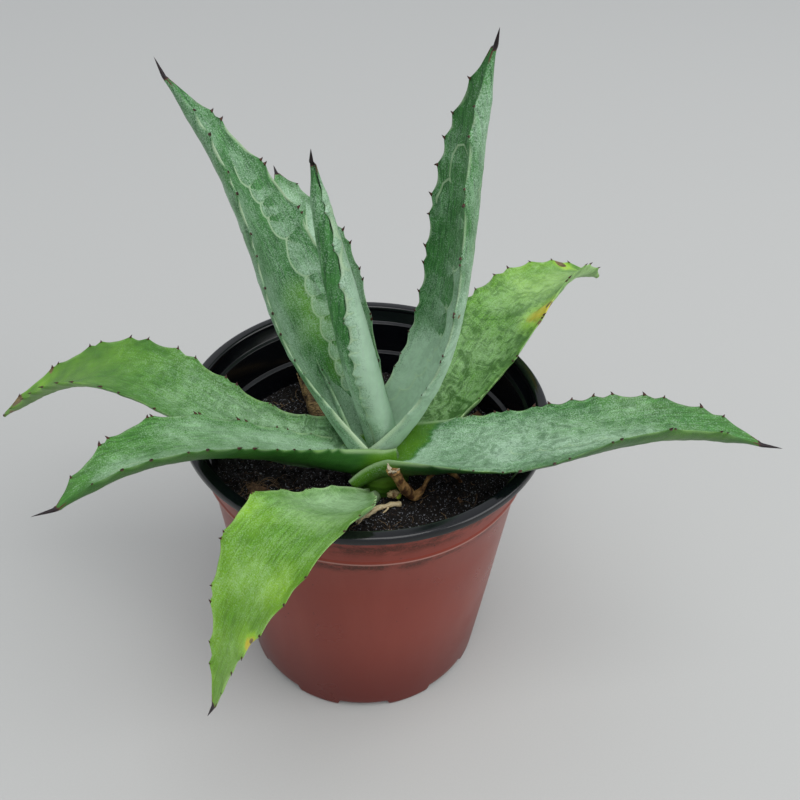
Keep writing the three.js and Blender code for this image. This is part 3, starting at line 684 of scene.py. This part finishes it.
def centre_line(leaf):
    """The centre line as a function of the share of the length, which runs below 0 in the sheath."""
    step = 1 / CENTRE_STEPS
    blade = directions(leaf, (np.arange(CENTRE_STEPS) + 0.5) * step)[0] * leaf["length"] * step
    sheath_step = leaf["sheath"] / SHEATH_STEPS
    below = -(np.arange(SHEATH_STEPS) + 0.5) * sheath_step / leaf["length"]
    sheath = directions(leaf, below)[0] * -sheath_step
    base = np.array(leaf["base"], float)
    points = np.vstack([(base + np.cumsum(sheath, 0))[::-1], base, base + np.cumsum(blade, 0)])
    shares = np.concatenate([-np.arange(SHEATH_STEPS, 0, -1) * sheath_step / leaf["length"],
                             np.arange(CENTRE_STEPS + 1) * step])
    return lambda s: np.stack([np.interp(s, shares, points[:, k]) for k in range(3)], -1)


def tooth_places(leaf, side):
    """Where the teeth of one margin sit: closer together near the base, and never quite evenly."""
    k = np.arange(leaf["teeth"])
    even = (k + 0.5 + TOOTH_JITTER * np.sin(2.7 * k + leaf["length"])) / leaf["teeth"]
    places = FIRST_TOOTH + (LAST_TOOTH - FIRST_TOOTH) * even ** TOOTH_CROWDING
    if side > 0:
        places = places + np.where(k % 2, 1, -1) * MARGIN_SHIFT * (LAST_TOOTH - FIRST_TOOTH) / leaf["teeth"]
    return np.minimum(places, TOOTH_LIMIT)


def tooth_size(s):
    """Teeth grow from small at the base to full size at a quarter of the length."""
    return np.minimum(1, 0.45 + 2.2 * (s - FIRST_TOOTH)) * (1 - 0.35 * smooth_step(s, 0.85, 1))


def mounds(leaf, s, side):
    """How far one margin stands out: a mound under each tooth, with hollow arcs between."""
    height = np.zeros_like(s)
    gap = leaf["length"] * (LAST_TOOTH - FIRST_TOOTH) / leaf["teeth"]
    for place in tooth_places(leaf, side):
        away = np.abs(s - place) * leaf["length"] / (0.6 * gap)
        height = np.maximum(height, MOUND_HEIGHT * tooth_size(place) * np.clip(1 - away, 0, 1) ** 1.8)
    return height


def printed_line(leaf, s, u, depth):
    """Millimetres across the skin to the nearest printed line, negative on its bare side. The arcs
    run from cusp to cusp, as the margin of the leaf that made them did."""
    half_width = leaf["width"] / 2 * along(leaf["outline"], s)
    here = np.stack([u * half_width, s * leaf["length"]], -1)
    nearest = np.full_like(s, 99.0)
    for face, bulge, bare, cusps in leaf["prints"]:
        cusps = np.array([(b * leaf["width"] / 2 * along(leaf["outline"], a), a * leaf["length"])
                          for a, b in cusps])
        line = [cusps[0]]
        for upper, lower in zip(cusps, cusps[1:]):
            chord = lower - upper
            aside = np.array([-chord[1], chord[0]]) * (bulge or 1)
            for t in np.linspace(0.08, 1, 9 if bulge else 2):
                arc = 0.2 * abs(math.sin(math.pi * t ** 1.25)) ** 0.75 if bulge else 0
                line.append(upper + chord * t + aside * arc)
            if bulge:
                line += [lower - aside / np.linalg.norm(chord) * 1.3, lower]
        line = np.array(line)
        for start, end in zip(line, line[1:]):
            run = end - start
            share = np.clip((here - start) @ run / (run @ run), 0, 1)
            offset = here - (start + share[:, None] * run)
            distance = np.hypot(offset[:, 0], offset[:, 1])
            side = (run[0] * offset[:, 1] - run[1] * offset[:, 0]) * bare
            closer = (distance < np.abs(nearest)) & (depth == face)
            nearest = np.where(closer, np.where(side > 0, -distance, distance), nearest)
    return nearest


def gutter(leaf, s, u):
    """The bend of a leaf across: how far round it u lies, its radius, and half the width along it."""
    deep = into_sheath(leaf, s)
    half_width = leaf["width"] / 2 * along(leaf["outline"], s)
    fold_at_base = max(leaf["fold"][0], SHEATH_FOLD)
    fold = np.radians(along(leaf["fold"], s) * (1 - deep) + fold_at_base * deep)
    return fold * u + np.radians(along(leaf["seam"], s)), half_width / fold, half_width


def over_gutter(leaf, s, angle, radius, outward, edge):
    """Points that stand so far outward from the bend of a leaf, and so far past its edge."""
    across, upper = directions(leaf, s)[1:]
    x = (radius + outward) * np.sin(angle) + edge * np.cos(angle)
    z = radius - (radius + outward) * np.cos(angle) + edge * np.sin(angle)
    return centre_line(leaf)(s) + across * x[:, None] + upper * z[:, None]


def leaf_skin(leaf, around, row):
    """Points of a leaf, and what its skin looks like there. around runs over the upper face from
    margin to margin and back under the leaf; row runs from the sheath to the point of the spine."""
    blade_rows = LEAF_ROWS - SPINE_ROWS
    index = np.round(row * LEAF_ROWS)
    bottom = -leaf["sheath"] / leaf["length"]
    s = np.clip(bottom + (1 - bottom) * (index - 1) / (blade_rows - 1), bottom, 1)
    spine = np.clip((index - blade_rows) / SPINE_ROWS, 0, 1)
    depth = np.where(around > 0.5, 1.0, 0.0)
    course = np.where(depth > 0, 3 - 4 * around, 4 * around - 1)
    u = 0.6 * np.sin(np.pi / 2 * course) + 0.4 * course

    angle, radius, half_width = gutter(leaf, s, u)
    full = leaf["plump"] * along(THICKNESS, s) * (1 - SHEATH_THINNING * into_sheath(leaf, s))
    full *= 1 - 0.55 * smooth_step(s, 0.9, 1)
    thickness = full * (1 - EDGE_THINNING * u * u) * np.sqrt(1 - np.abs(u) ** 14)
    tooth = np.where(u > 0, mounds(leaf, s, 1), mounds(leaf, s, -1))
    near_margin = smooth_step(np.abs(u), 0.62, 1) ** 2

    # The skin is a little raised along a printed line, and never quite flat.
    line = printed_line(leaf, s, u, depth)
    step = smooth_step(line, -1.5, 1.5) * smooth_step(line, 9, 2)
    x, y = u * half_width, s * leaf["length"]
    lumps = 0.16 * leaf["wrinkle"] * np.sin(0.31 * x + 0.13 * y + leaf["length"])
    lumps *= np.sin(0.17 * y - 0.22 * x)
    lumps += 0.09 * leaf["wrinkle"] * np.sin(0.83 * x - 0.29 * y) * np.sin(0.47 * y + 0.3 * x)
    relief = (PRINT_RELIEF * step + lumps) * (1 - np.abs(u) ** 6) * (1 - smooth_step(s, 0.93, 1))
    outward = leaf["spiral"] * u + np.where(depth > 0, thickness + relief, -relief)
    points = over_gutter(leaf, s, angle, radius, outward, np.sign(u) * tooth * near_margin)

    # Past the blade the skin draws in round the middle and runs out to the point of the spine.
    forward, across, upper = directions(leaf, s)
    seam = np.radians(along(leaf["seam"], s))
    core = radius + full / 2
    middle = centre_line(leaf)(s) + across * (core * np.sin(seam))[:, None]
    middle += upper * (radius - core * np.cos(seam))[:, None]
    turn = np.pi * (1 - 2 * around)
    narrowing = SPINE_RADIUS * (1 - spine) ** 0.85
    pointing = forward + across * leaf["lean"][0] + upper * leaf["lean"][1]
    pointing /= np.linalg.norm(pointing, axis=1)[:, None]
    reach = pointing * (spine * leaf["spine"])[:, None]
    tip = middle + reach
    tip += across * (narrowing * np.cos(turn))[:, None] + upper * (narrowing * np.sin(turn))[:, None]
    onto_spine = smooth_step(spine, 0, 0.3)[:, None]
    drawn_in = (points + reach) * (1 - onto_spine) + tip * onto_spine
    points = np.where(spine[:, None] > 0, drawn_in, points)
    points = np.where((index == 0)[:, None], middle, points)

    # Wax thins at the base, the margins and the tip, and on the bare side of a printed line. On
    # the shaded side of a leaf it is taken away as painted shade. The underside gets a little more
    # wax, and where the table gives a negative amount it loses wax as painted shade.
    from_margin = (1 - np.abs(u)) * half_width + tooth * near_margin
    bloom = along(leaf["bloom"], s) * (0.55 + 0.45 * smooth_step(from_margin, 2, 7))
    # Painted shade: the shaded side of the leaf loses its wax and turns darker green.
    bloom *= 1 - leaf["shaded"] * smooth_step(-u, 0, 0.3) * smooth_step(s, 0.18, 0.5)
    bloom *= 1 - 0.6 * smooth_step(-line, 0, 1) * smooth_step(-line, 9, 1.5)
    # A negative under wax takes wax off the underside as painted shade.
    bloom += 0.26 * smooth_step(line, 0.3, 1) * smooth_step(line, 14, 4) + leaf["under_wax"] * depth
    level, slant = leaf["bare_base"]
    bare = level + slant * u + 0.006 * np.sin(11 * u) + 0.003 * np.sin(37 * u)
    bloom *= smooth_step(s - bare, -0.006, 0.014)

    # The base is fresh green. The margins, the outer half and the marks are yellowed.
    fresh = smooth_step(y, leaf["fresh_to"], -3) + 0.8 * smooth_step(s - bare, 0.004, -0.02)
    yellow = 0.35 + 0.65 * smooth_step(s, 0.3, 0.7) + 0.5 * smooth_step(from_margin, 2, 0.2)
    yellow *= leaf["yellow"]
    yellow += 0.45 * smooth_step(from_margin, 1.4, 0.2) * smooth_step(s, 0.5, 0.15)
    scar = np.zeros_like(s)
    for kind, mark_s, mark_u, size in leaf["marks"]:
        away = np.hypot((s - mark_s) * leaf["length"], (u - mark_u) * half_width) / size
        if kind in ("halo", "gold"):
            yellow = yellow + (2.2 if kind == "gold" else 0.45) * smooth_step(away, 1.1, 0.2)
        else:
            scar = np.maximum(scar, smooth_step(away, 1.15, 0.5))

    # Horn covers the spine, the last of the margins and the tops of the mounds.
    last_margin = 0.8 * smooth_step(s, 0.965, 0.995) * smooth_step(np.abs(u), 0.7, 1)
    tops = 0.75 * smooth_step(tooth / MOUND_HEIGHT, 0.72, 1.0) * smooth_step(np.abs(u), 0.93, 1)
    horn = np.maximum(np.maximum(smooth_step(spine, 0, 0.08), last_margin), tops)
    pale_edge = smooth_step(from_margin, 1.8, 0.4) * (leaf["edge"] + 0.3 * smooth_step(s, 0.3, 0.1))
    pale_edge *= smooth_step(s, 0.97, 0.85)
    return points, {"bloom": bloom, "fresh": np.clip(fresh, 0, 1), "yellow": yellow, "scar": scar,
                    "horn": horn, "print": np.clip(line, -9, 9), "pale_edge": pale_edge,
                    "rub": along(leaf["rub"], s), "skin_x": x, "skin_y": y}


def wrap_grid(bm, columns, rows, place):
    """A grid rolled into a closed skin by a function that places its vertices. Its first and last
    rows come together at poles, and its sides at a seam."""
    verts = bmesh.ops.create_grid(bm, x_segments=columns, y_segments=rows, size=1)["verts"]
    grid = (np.array([v.co[:2] for v in verts]) + 1) / 2
    points = place(verts, grid[:, 0], grid[:, 1])
    for vertex, point in zip(verts, points * MM):
        vertex.co = point
    bmesh.ops.remove_doubles(bm, verts=verts, dist=1e-6)


SKIN_LAYERS = ("bloom", "fresh", "yellow", "scar", "horn", "print", "pale_edge", "rub", "skin_x", "skin_y")
THORN_CHANCE = random.Random(5)


def add_thorn(bm, layers, root, out, lean, size):
    """A horny tooth: a cone sunk in its mound, flattened and hooked."""
    side = np.cross(out, lean)

    def place(verts, around, row):
        turn = 2 * np.pi * around
        reach = np.clip(row * THORN_ROWS - 1, 0, THORN_ROWS - 1) / (THORN_ROWS - 1)
        radius = THORN_RADIUS * size * (1 - reach) ** 0.8 * (row > 0)
        spread = np.outer(np.cos(turn) * radius * 1.5, lean) + np.outer(np.sin(turn) * radius, side)
        for vertex, share in zip(verts, reach):
            vertex[layers["horn"]] = float(0.75 + 0.25 * share)
        return (root + np.outer(reach * THORN_LENGTH * size - THORN_SINK, out)
                + np.outer(THORN_HOOK * size * reach ** 2, lean) + spread)

    wrap_grid(bm, 8, THORN_ROWS, place)


def grow_leaf(leaf, materials):
    """One leaf in one piece: sheath, blade, teeth and spine."""
    bm = bmesh.new()
    layers = {name: bm.verts.layers.float.new(name) for name in SKIN_LAYERS}

    def place(verts, around, row):
        points, looks = leaf_skin(leaf, around, row)
        for name, values in looks.items():
            layer = layers[name]
            for vertex, value in zip(verts, values.tolist()):
                vertex[layer] = value
        return points

    wrap_grid(bm, LEAF_AROUND, LEAF_ROWS, place)
    for side in (-1, 1):
        places = tooth_places(leaf, side)
        angle, radius = gutter(leaf, places, side)[:2]
        rise = mounds(leaf, places, side) * side
        roots = over_gutter(leaf, places, angle, radius, leaf["spiral"] * side, rise)
        forward, across, upper = directions(leaf, places)
        outs = side * (across * np.cos(angle)[:, None] + upper * np.sin(angle)[:, None])
        for root, out, ahead, size in zip(roots, outs, forward, tooth_size(places)):
            lean = ahead * THORN_CHANCE.choice((1, 1, 1, -1))
            size = leaf["thorn"] * float(size) * THORN_CHANCE.uniform(0.75, 1.15)
            add_thorn(bm, layers, root, out, lean, size)
    bmesh.ops.recalc_face_normals(bm, faces=bm.faces)
    place_piece(bm, leaf["name"] + "_blade", materials, [leaf["name"]])


def leaf_material(name, deep, mid, wax, aged, speckle):
    """Agave skin: a tough glossy green cuticle under a matt, granular bloom of wax, which is
    rubbed away in specks and patches. Its grain is 0.6 mm, its mottling 5 mm, its patches 24 mm and
    its creases 8 mm, and along the leaf it is streaked."""
    material, at = start_material(name)
    seen = {}
    for layer in SKIN_LAYERS:
        seen[layer] = add(material, "Attribute", attribute_name=layer).outputs["Fac"]
    skin_place = add(material, "CombineXYZ", X=seen["skin_x"], Y=seen["skin_y"])
    streak_place = add(material, "Mapping", Vector=skin_place, Scale=(0.9, 0.07, 1))
    grain = add(material, "TexNoise", Vector=at, Scale=1600, Detail=1, Roughness=0.5)
    mottle = add(material, "TexNoise", Vector=at, Scale=210, Detail=6, Roughness=0.7)
    patch = add(material, "TexNoise", Vector=at, Scale=42, Detail=3, Roughness=0.5)
    streak = add(material, "TexNoise", Vector=streak_place, Scale=1, Detail=4, Roughness=0.6)
    crease = add(material, "TexNoise", Vector=at, Scale=120, Detail=5, Roughness=0.62, Distortion=1.6)

    # How much wax covers the skin, and the green under it, which yellows in patches.
    cover = seen["bloom"]
    # Below no wax the green deepens: the bare green of the oldest leaves, and painted shade on undersides
    # given a negative under wax.
    deep_green_and_shade = add(material, "MapRange", Value=cover, From_Min=0.1, From_Max=-0.5, To_Max=0.8)
    for texture, strength in ((grain, speckle), (mottle, 0.22), (patch, 0.4), (streak, 0.12)):
        varied = add(material, "MapRange", Value=texture, From_Min=0.3, From_Max=0.7,
                     To_Min=-strength / 2, To_Max=strength / 2, clamp=False)
        cover = add(material, "Math", Value=cover, Value_001=varied, operation="ADD")
    cover = add(material, "MapRange", Value=cover, From_Min=0.05, From_Max=1.0)
    tone = add(material, "MapRange", Value=streak, From_Min=0.3, From_Max=0.7)
    ageing = add(material, "MapRange", Value=patch, From_Min=0.35, From_Max=0.65, To_Min=0.4, To_Max=1.2)
    ageing = add(material, "Math", Value=ageing, Value_001=seen["yellow"], operation="MULTIPLY")
    yellowed = add(material, "MapRange", Value=ageing)
    green = colour(deep)
    for amount, over in ((tone, mid), (deep_green_and_shade, deep), (yellowed, aged), (seen["fresh"], "#507F1A")):
        green = add(material, "Mix", Factor=amount, A=green, B=colour(over), data_type="RGBA")
    waxed = add(material, "Mix", Factor=0.25, A=colour(wax), B=green, data_type="RGBA")
    skin = add(material, "Mix", Factor=cover, A=green, B=waxed, data_type="RGBA")

    # Creases worn bare, golden marks, printed lines, pale edges, corky scars and horn lie over it.
    worn = add(material, "MapRange", Value=crease, From_Min=0.46, From_Max=0.6, To_Max=0.75)
    worn = add(material, "Math", Value=worn, Value_001=seen["rub"], operation="MULTIPLY")
    gold = add(material, "MapRange", Value=ageing, From_Min=1.2, From_Max=2.2)
    aside = add(material, "Math", Value=seen["print"], operation="ABSOLUTE")
    printed = add(material, "MapRange", Value=aside, From_Min=0.75, From_Max=0.2, To_Max=0.62)
    pale = add(material, "Math", Value=seen["pale_edge"], Value_001=0.8, operation="MULTIPLY")
    ragged = add(material, "MapRange", Value=mottle, To_Min=-0.35, To_Max=0.35)
    dead = add(material, "Math", Value=seen["scar"], Value_001=ragged, operation="ADD")
    dead = add(material, "MapRange", Value=dead, From_Min=0.4, From_Max=0.62)
    corky = add(material, "Mix", Factor=tone, A=colour("#3E2E16"), B=colour("#8E7A4A"), data_type="RGBA")
    dark = add(material, "MapRange", Value=seen["horn"], From_Min=0.7, From_Max=1.0)
    horn = add(material, "Mix", Factor=dark, A=colour("#54301F"), B=colour("#1D1114"), data_type="RGBA")
    horny = add(material, "MapRange", Value=seen["horn"], From_Min=0.25, From_Max=0.7)
    for amount, over in ((worn, colour(deep)), (gold, colour("#CCBC2E")), (printed, colour("#B4CFA8")),
                         (pale, colour("#B9CFAA")), (dead, corky), (horny, horn)):
        skin = add(material, "Mix", Factor=amount, A=skin, B=over, data_type="RGBA")

    rough = add(material, "MapRange", Value=cover, To_Min=0.42, To_Max=0.62)
    height = add(material, "Math", Value=grain, Value_001=printed, operation="ADD")
    height = add(material, "Math", Value=height, Value_001=worn, operation="SUBTRACT")
    relief = add(material, "Bump", Height=height, Strength=0.45, Distance=0.0006)
    return finish_material(material, Base_Color=skin, Roughness=rough, Normal=relief,
                           Specular_IOR_Level=0.3)


# The young leaves round the middle are blue-green with wax, two older ones have lost half of
# theirs, and the two oldest are yellow-green and nearly bare.
glaucous_skin = leaf_material("glaucous_agave_skin", "#1F4C24", "#46893E", "#C0DEC4", "#78B030", 0.6)
half_waxed_skin = leaf_material("half_waxed_agave_skin", "#23521F", "#4C8B35", "#BCDCBE", "#7CB42A", 0.5)
green_skin = leaf_material("green_agave_skin", "#28580E", "#5C9A24", "#B8DCAC", "#8FC020", 0.45)
OLDER_LEAVES = {"front_left_leaf": half_waxed_skin, "left_leaf": half_waxed_skin,
                "back_right_leaf": green_skin, "front_leaf": green_skin}
for leaf in LEAVES:
    skin = OLDER_LEAVES.get(leaf["name"], glaucous_skin)
    grow_leaf(leaf, [skin])

# ---------------------------------------------------------------------------------------
# Runner, roots and dry leaf. A woody brown runner arches out of the peat beside the stem
# and back in, pale young roots branch over the surface with a green bud at their knob, and
# the fibrous stub of a dead leaf leans out behind.
END_SHARE = 0.004


def sweep(bm, path, radius, sides, steps, roughness, twist=0.0, seed=0):
    """A closed limb along a smooth path: radius is a function of the share of its length."""
    path = np.array(path, float)
    ripple = np.random.default_rng(seed).uniform(0, 6.3, 6)

    def on_path(share):
        return np.stack([along(path[:, k], share) for k in range(3)], -1)

    def place(verts, around, row):
        index = np.round(row * steps)
        share = np.clip((index - 1) / (steps - 2), 0, 1)
        at_end = (share <= END_SHARE) | (share >= 1 - END_SHARE)
        near = np.where(at_end, np.clip(share, 0.01, 0.99), share)
        ahead = on_path(near + END_SHARE) - on_path(near - END_SHARE)
        ahead /= np.linalg.norm(ahead, axis=1)[:, None]
        side = np.cross(ahead, [0, 0, 1.0])
        side /= np.maximum(np.linalg.norm(side, axis=1), 1e-6)[:, None]
        above = np.cross(side, ahead)
        turn = 2 * np.pi * around + twist * share
        wave = sum(np.sin(m * turn + ripple[m - 2] + (9 + 5 * m) * share) / m for m in (3, 4, 5, 6, 7))
        grown = radius(share) * (1 + roughness * wave) * ((index > 0) & (index < steps))
        across = side * (grown * np.cos(turn))[:, None]
        return on_path(share) + across + above * (grown * np.sin(turn))[:, None]

    wrap_grid(bm, sides, steps, place)


# Bark of the runner: dull brown and papery, cracked along its length, paler where it flakes.
runner_bark = natural_material(
    "runner_bark", 0.78, "#5C3A18", dict(hue="#CDA062", shows=(0.38, 0.6), Scale=210, Detail=3),
    dict(hue="#2A1B12", shows=(0.52, 0.68), bumps=(0.8, 0.0006), Scale=700, Detail=5, Roughness=0.7))

# Pith of the runner: pale, dry and porous where its end broke off.
runner_pith = natural_material("runner_pith", 0.85, "#7A6444", dict(hue="#F2E6CC", Scale=900, Detail=3))

# The runner thins on its way down and ends in a frayed stump, from which splinters of pith stand.
RUNNER_PATH = [
    (14, -38, 167.5), (15.5, -37.5, 163.5), (19, -36.5, 155), (22, -34.5, 148), (26, -33, 142),
    (29, -31, 142), (32, -27.5, 144.5), (35, -23.5, 148), (39, -20, 148), (44, -17, 146.5),
    (50.5, -17, 142), (54, -17.5, 137),
]
RUNNER_RADIUS = 2.9
RUNNER_THINNING = 1.7
STUMP_SWELL = 0.8
SPLINTERS = 11
SPLINTER_RADIUS = 0.75


def runner_radius(share):
    """The radius of the runner: knobbly, swollen at its stump and thinner past the first bend."""
    stump = STUMP_SWELL * np.exp(-((share - 0.03) / 0.035) ** 2)
    thinning = RUNNER_THINNING * smooth_step(share, 0.3, 0.62)
    return RUNNER_RADIUS - thinning + 0.25 * np.sin(31 * share) + stump


bm = bmesh.new()
sweep(bm, RUNNER_PATH, runner_radius, 32, 190, 0.13, twist=2.5, seed=3)
bmesh.ops.recalc_face_normals(bm, faces=bm.faces)
bark_faces = len(bm.faces)
for k in range(SPLINTERS):
    turn = 2.4 * k
    out = Vector((math.cos(turn), math.sin(turn), 0))
    start = Vector(RUNNER_PATH[0]) + out * (1 + 0.5 * (k % 3)) - Vector((0, 0, 0.8))
    reach = out * (1.1 + 0.6 * (k % 4)) + Vector((0, 0, 1.4 + 0.5 * (k % 3)))
    splinter = [start, start + reach * 0.5 + out * 0.3, start + reach, start + reach * 1.3]
    sweep(bm, splinter, lambda t: SPLINTER_RADIUS * (1 - t) ** 0.7 + 0.08, 10, 16, 0.2, seed=30 + k)
bmesh.ops.recalc_face_normals(bm, faces=bm.faces)
for face in list(bm.faces)[bark_faces:]:
    face.material_index = 1
place_piece(bm, "runner", [runner_bark, runner_pith], ["stolon"])

# Flesh of young roots: cream, dull and faintly wrinkled.
root_flesh = natural_material("young_root_flesh", 0.65, "#B8945A",
                              dict(hue="#FFF4CC", bumps=(0.5, 0.0004), Scale=800, Detail=3))

# Skin of the knob that the roots spring from: older than they are, browned and scurfy.
knob_skin = natural_material(
    "root_knob_skin", 0.75, "#6E4E2A",
    dict(hue="#CDB88A", shows=(0.4, 0.6), bumps=(0.6, 0.0005), Scale=380, Detail=4, Roughness=0.7))

# The bud at the knob is fresh yellow-green, and a little smoother than the roots.
bud_green = natural_material("bud_green", 0.5, "#7C9A22", dict(hue="#B8CF4A", Scale=500, Detail=2))

# Each root: its path, its radius at the start and how much it thins, the size and number of its
# swellings, how its mesh is cut, how rough it is, and its seed. The first is the main one.
ROOTS = [
    ([(19, -36.5, 139.2), (15, -37.5, 140.3), (10, -39, 140), (3.4, -40.6, 139.8), (-2, -44, 139),
      (-5, -48, 136.5)], 1.5, 0.5, 0.16, 31, 16, 110, 0.14, 5),
    ([(8, -39.5, 139.9), (5, -42, 140), (1.5, -45, 139.6), (-2.4, -47.1, 138.8), (-4, -50.5, 136)],
     1.3, 0.45, 0.14, 27, 16, 90, 0.14, 6),
    ([(13, -38, 139.8), (11.5, -41, 139.6), (9, -43.5, 138.8), (7.5, -46, 136.5)],
     0.6, 0.35, 0.06, 33, 12, 60, 0.12, 9),
]
KNOB_PATH = [(19, -33.2, 141.6), (17.2, -32.2, 142.4), (14.8, -32, 142.6), (12, -31.6, 141.4)]
BUD_PATH = [(17.6, -33.6, 141.8), (18.6, -34.1, 143.2), (18.6, -34.5, 144.6), (19, -34.8, 146)]
bm = bmesh.new()
for path, radius, thinning, swelling, waves, sides, steps, roughness, seed in ROOTS:
    sweep(bm, path, lambda t: radius - thinning * t + swelling * np.sin(waves * t), sides, steps, roughness,
          seed=seed)
root_faces = len(bm.faces)
sweep(bm, KNOB_PATH, lambda t: 0.5 + 1.9 * np.sin(np.pi * (0.12 + 0.76 * t)), 24, 60, 0.26, seed=7)
knob_faces = len(bm.faces)
sweep(bm, BUD_PATH, lambda t: 1.2 * (1 - t) ** 0.6 + 0.05, 14, 40, 0.05, seed=8)
bmesh.ops.recalc_face_normals(bm, faces=bm.faces)
for index, face in enumerate(bm.faces):
    face.material_index = 0 if index < root_faces else 1 if index < knob_faces else 2
place_piece(bm, "young_roots", [root_flesh, knob_skin, bud_green], ["pale_roots"])

# The dead leaf: shrunken to a bundle of stiff straw-brown fibres, split and frayed. Its noise is
# turned and stretched to run along it.
straw_leaf = natural_material(
    "dead_leaf_fibre", 0.88, "#2C1D0C",
    dict(hue="#AE915E", shows=(0.38, 0.62), bumps=(0.9, 0.0008), Scale=900, Detail=4, Roughness=0.7,
         stretch={"Rotation": (0, 0, -1.05), "Scale": (0.12, 1, 1)}),
    dict(hue="#3C2A1C", shows=(0.52, 0.68), Scale=160, Detail=4))

DRY_LEAF_PATH = np.array([(0, -1, 146), (-14, 12, 144.5), (-27, 30, 143), (-35, 50, 143.5), (-40, 70, 146)],
                         float)
LOOSE_FIBRES = [(2.6, 1.5, 0.6), (-2.2, -1.8, 1.1), (0.4, 0.2, 2.6), (1.8, -1.0, -0.8)]


def bundle_radius(share):
    """The radius of the bundle: knotted, and thickest half way along."""
    return 1.9 + 2.1 * np.sin(np.pi * np.clip(share, 0, 1)) ** 0.7 + 0.3 * np.sin(23 * share)


bm = bmesh.new()
sweep(bm, DRY_LEAF_PATH, bundle_radius, 48, 170, 0.16, twist=1.4, seed=11)
for k, (dx, dy, dz) in enumerate(LOOSE_FIBRES):
    lifted = DRY_LEAF_PATH + np.array([(0, 0, 0), (dx * 0.6, dy * 0.6, dz * 0.5), (dx, dy, dz),
                                       (dx * 1.1, dy, dz), (dx * 1.6, dy * 1.4, dz * 1.8)])
    sweep(bm, lifted, lambda t: 0.9 - 0.5 * t, 12, 90, 0.15, seed=20 + k)
bmesh.ops.recalc_face_normals(bm, faces=bm.faces)
place_piece(bm, "dead_leaf_stub", [straw_leaf], ["dry_leaf"])

# ---------------------------------------------------------------------------------------
# The stand. A pale matt floor runs on out of sight. A window lights the rosette from each side,
# more strongly on the right, a broad lamp hangs overhead, and the camera looks down from above
# the front.

# Backdrop paper: smooth, matt and pale grey, with a grain of 1 mm that barely shows.
floor_paper = natural_material("pale_backdrop_paper", 0.75, "#B7B7B4",
                               dict(hue="#BCBCB9", Scale=900, Detail=2))
FLOOR_REACH = 4
bm = bmesh.new()
bmesh.ops.create_grid(bm, x_segments=1, y_segments=1, size=FLOOR_REACH)
floor = put_in_scene("floor", finish_mesh(bm, "floor", [floor_paper]))

world = bpy.data.worlds.new("studio")
world.use_nodes = True
background = world.node_tree.nodes["Background"]
background.inputs["Color"].default_value = colour("#E4E8EE")
background.inputs["Strength"].default_value = 0.84
bpy.context.scene.world = world
bpy.context.scene.view_settings.view_transform = "Standard"

# Each light: place and aim in metres, width and height, power in watts.
LIGHTS = {
    "window_right": ((2.5, -0.8, 1.6), (0, 0, 0.1), (2.2, 2.2), 36),
    "window_left": ((-2.4, -1.6, 1.8), (0, 0, 0.15), (2.0, 2.0), 4),
    "ceiling": ((0.2, -1.1, 3.4), (0, 0, 0.1), (2.2, 2.2), 46),
}
for name, (place, aim, (wide, high), power) in LIGHTS.items():
    light = bpy.data.lights.new(name, "AREA")
    light.shape = "RECTANGLE"
    light.size, light.size_y = wide, high
    light.energy = power
    lamp = put_in_scene(name, light)
    lamp.location = place
    lamp.rotation_euler = (Vector(aim) - Vector(place)).to_track_quat("-Z", "Y").to_euler()

# The camera: its place in metres, its pan, tilt and roll in radians, and its lens.
CAMERA_AT = Vector((0, -0.39967, 0.51315))
CAMERA_PAN = -0.0454593
CAMERA_TILT = 0.690022
CAMERA_ROLL = 0.0385734
LENS = 42.75
SENSOR = 36
level = Vector((math.cos(CAMERA_PAN), math.sin(CAMERA_PAN), 0))
flat = math.cos(CAMERA_TILT)
ahead = Vector((-math.sin(CAMERA_PAN) * flat, math.cos(CAMERA_PAN) * flat, -math.sin(CAMERA_TILT)))
upright = level.cross(ahead)
right = level * math.cos(CAMERA_ROLL) + upright * math.sin(CAMERA_ROLL)
top = upright * math.cos(CAMERA_ROLL) - level * math.sin(CAMERA_ROLL)
lens = bpy.data.cameras.new("camera")
lens.lens = LENS
lens.sensor_width = SENSOR
camera = put_in_scene("camera", lens)
camera.matrix_world = Matrix.Translation(CAMERA_AT) @ Matrix((right, top, -ahead)).transposed().to_4x4()
bpy.context.scene.camera = camera
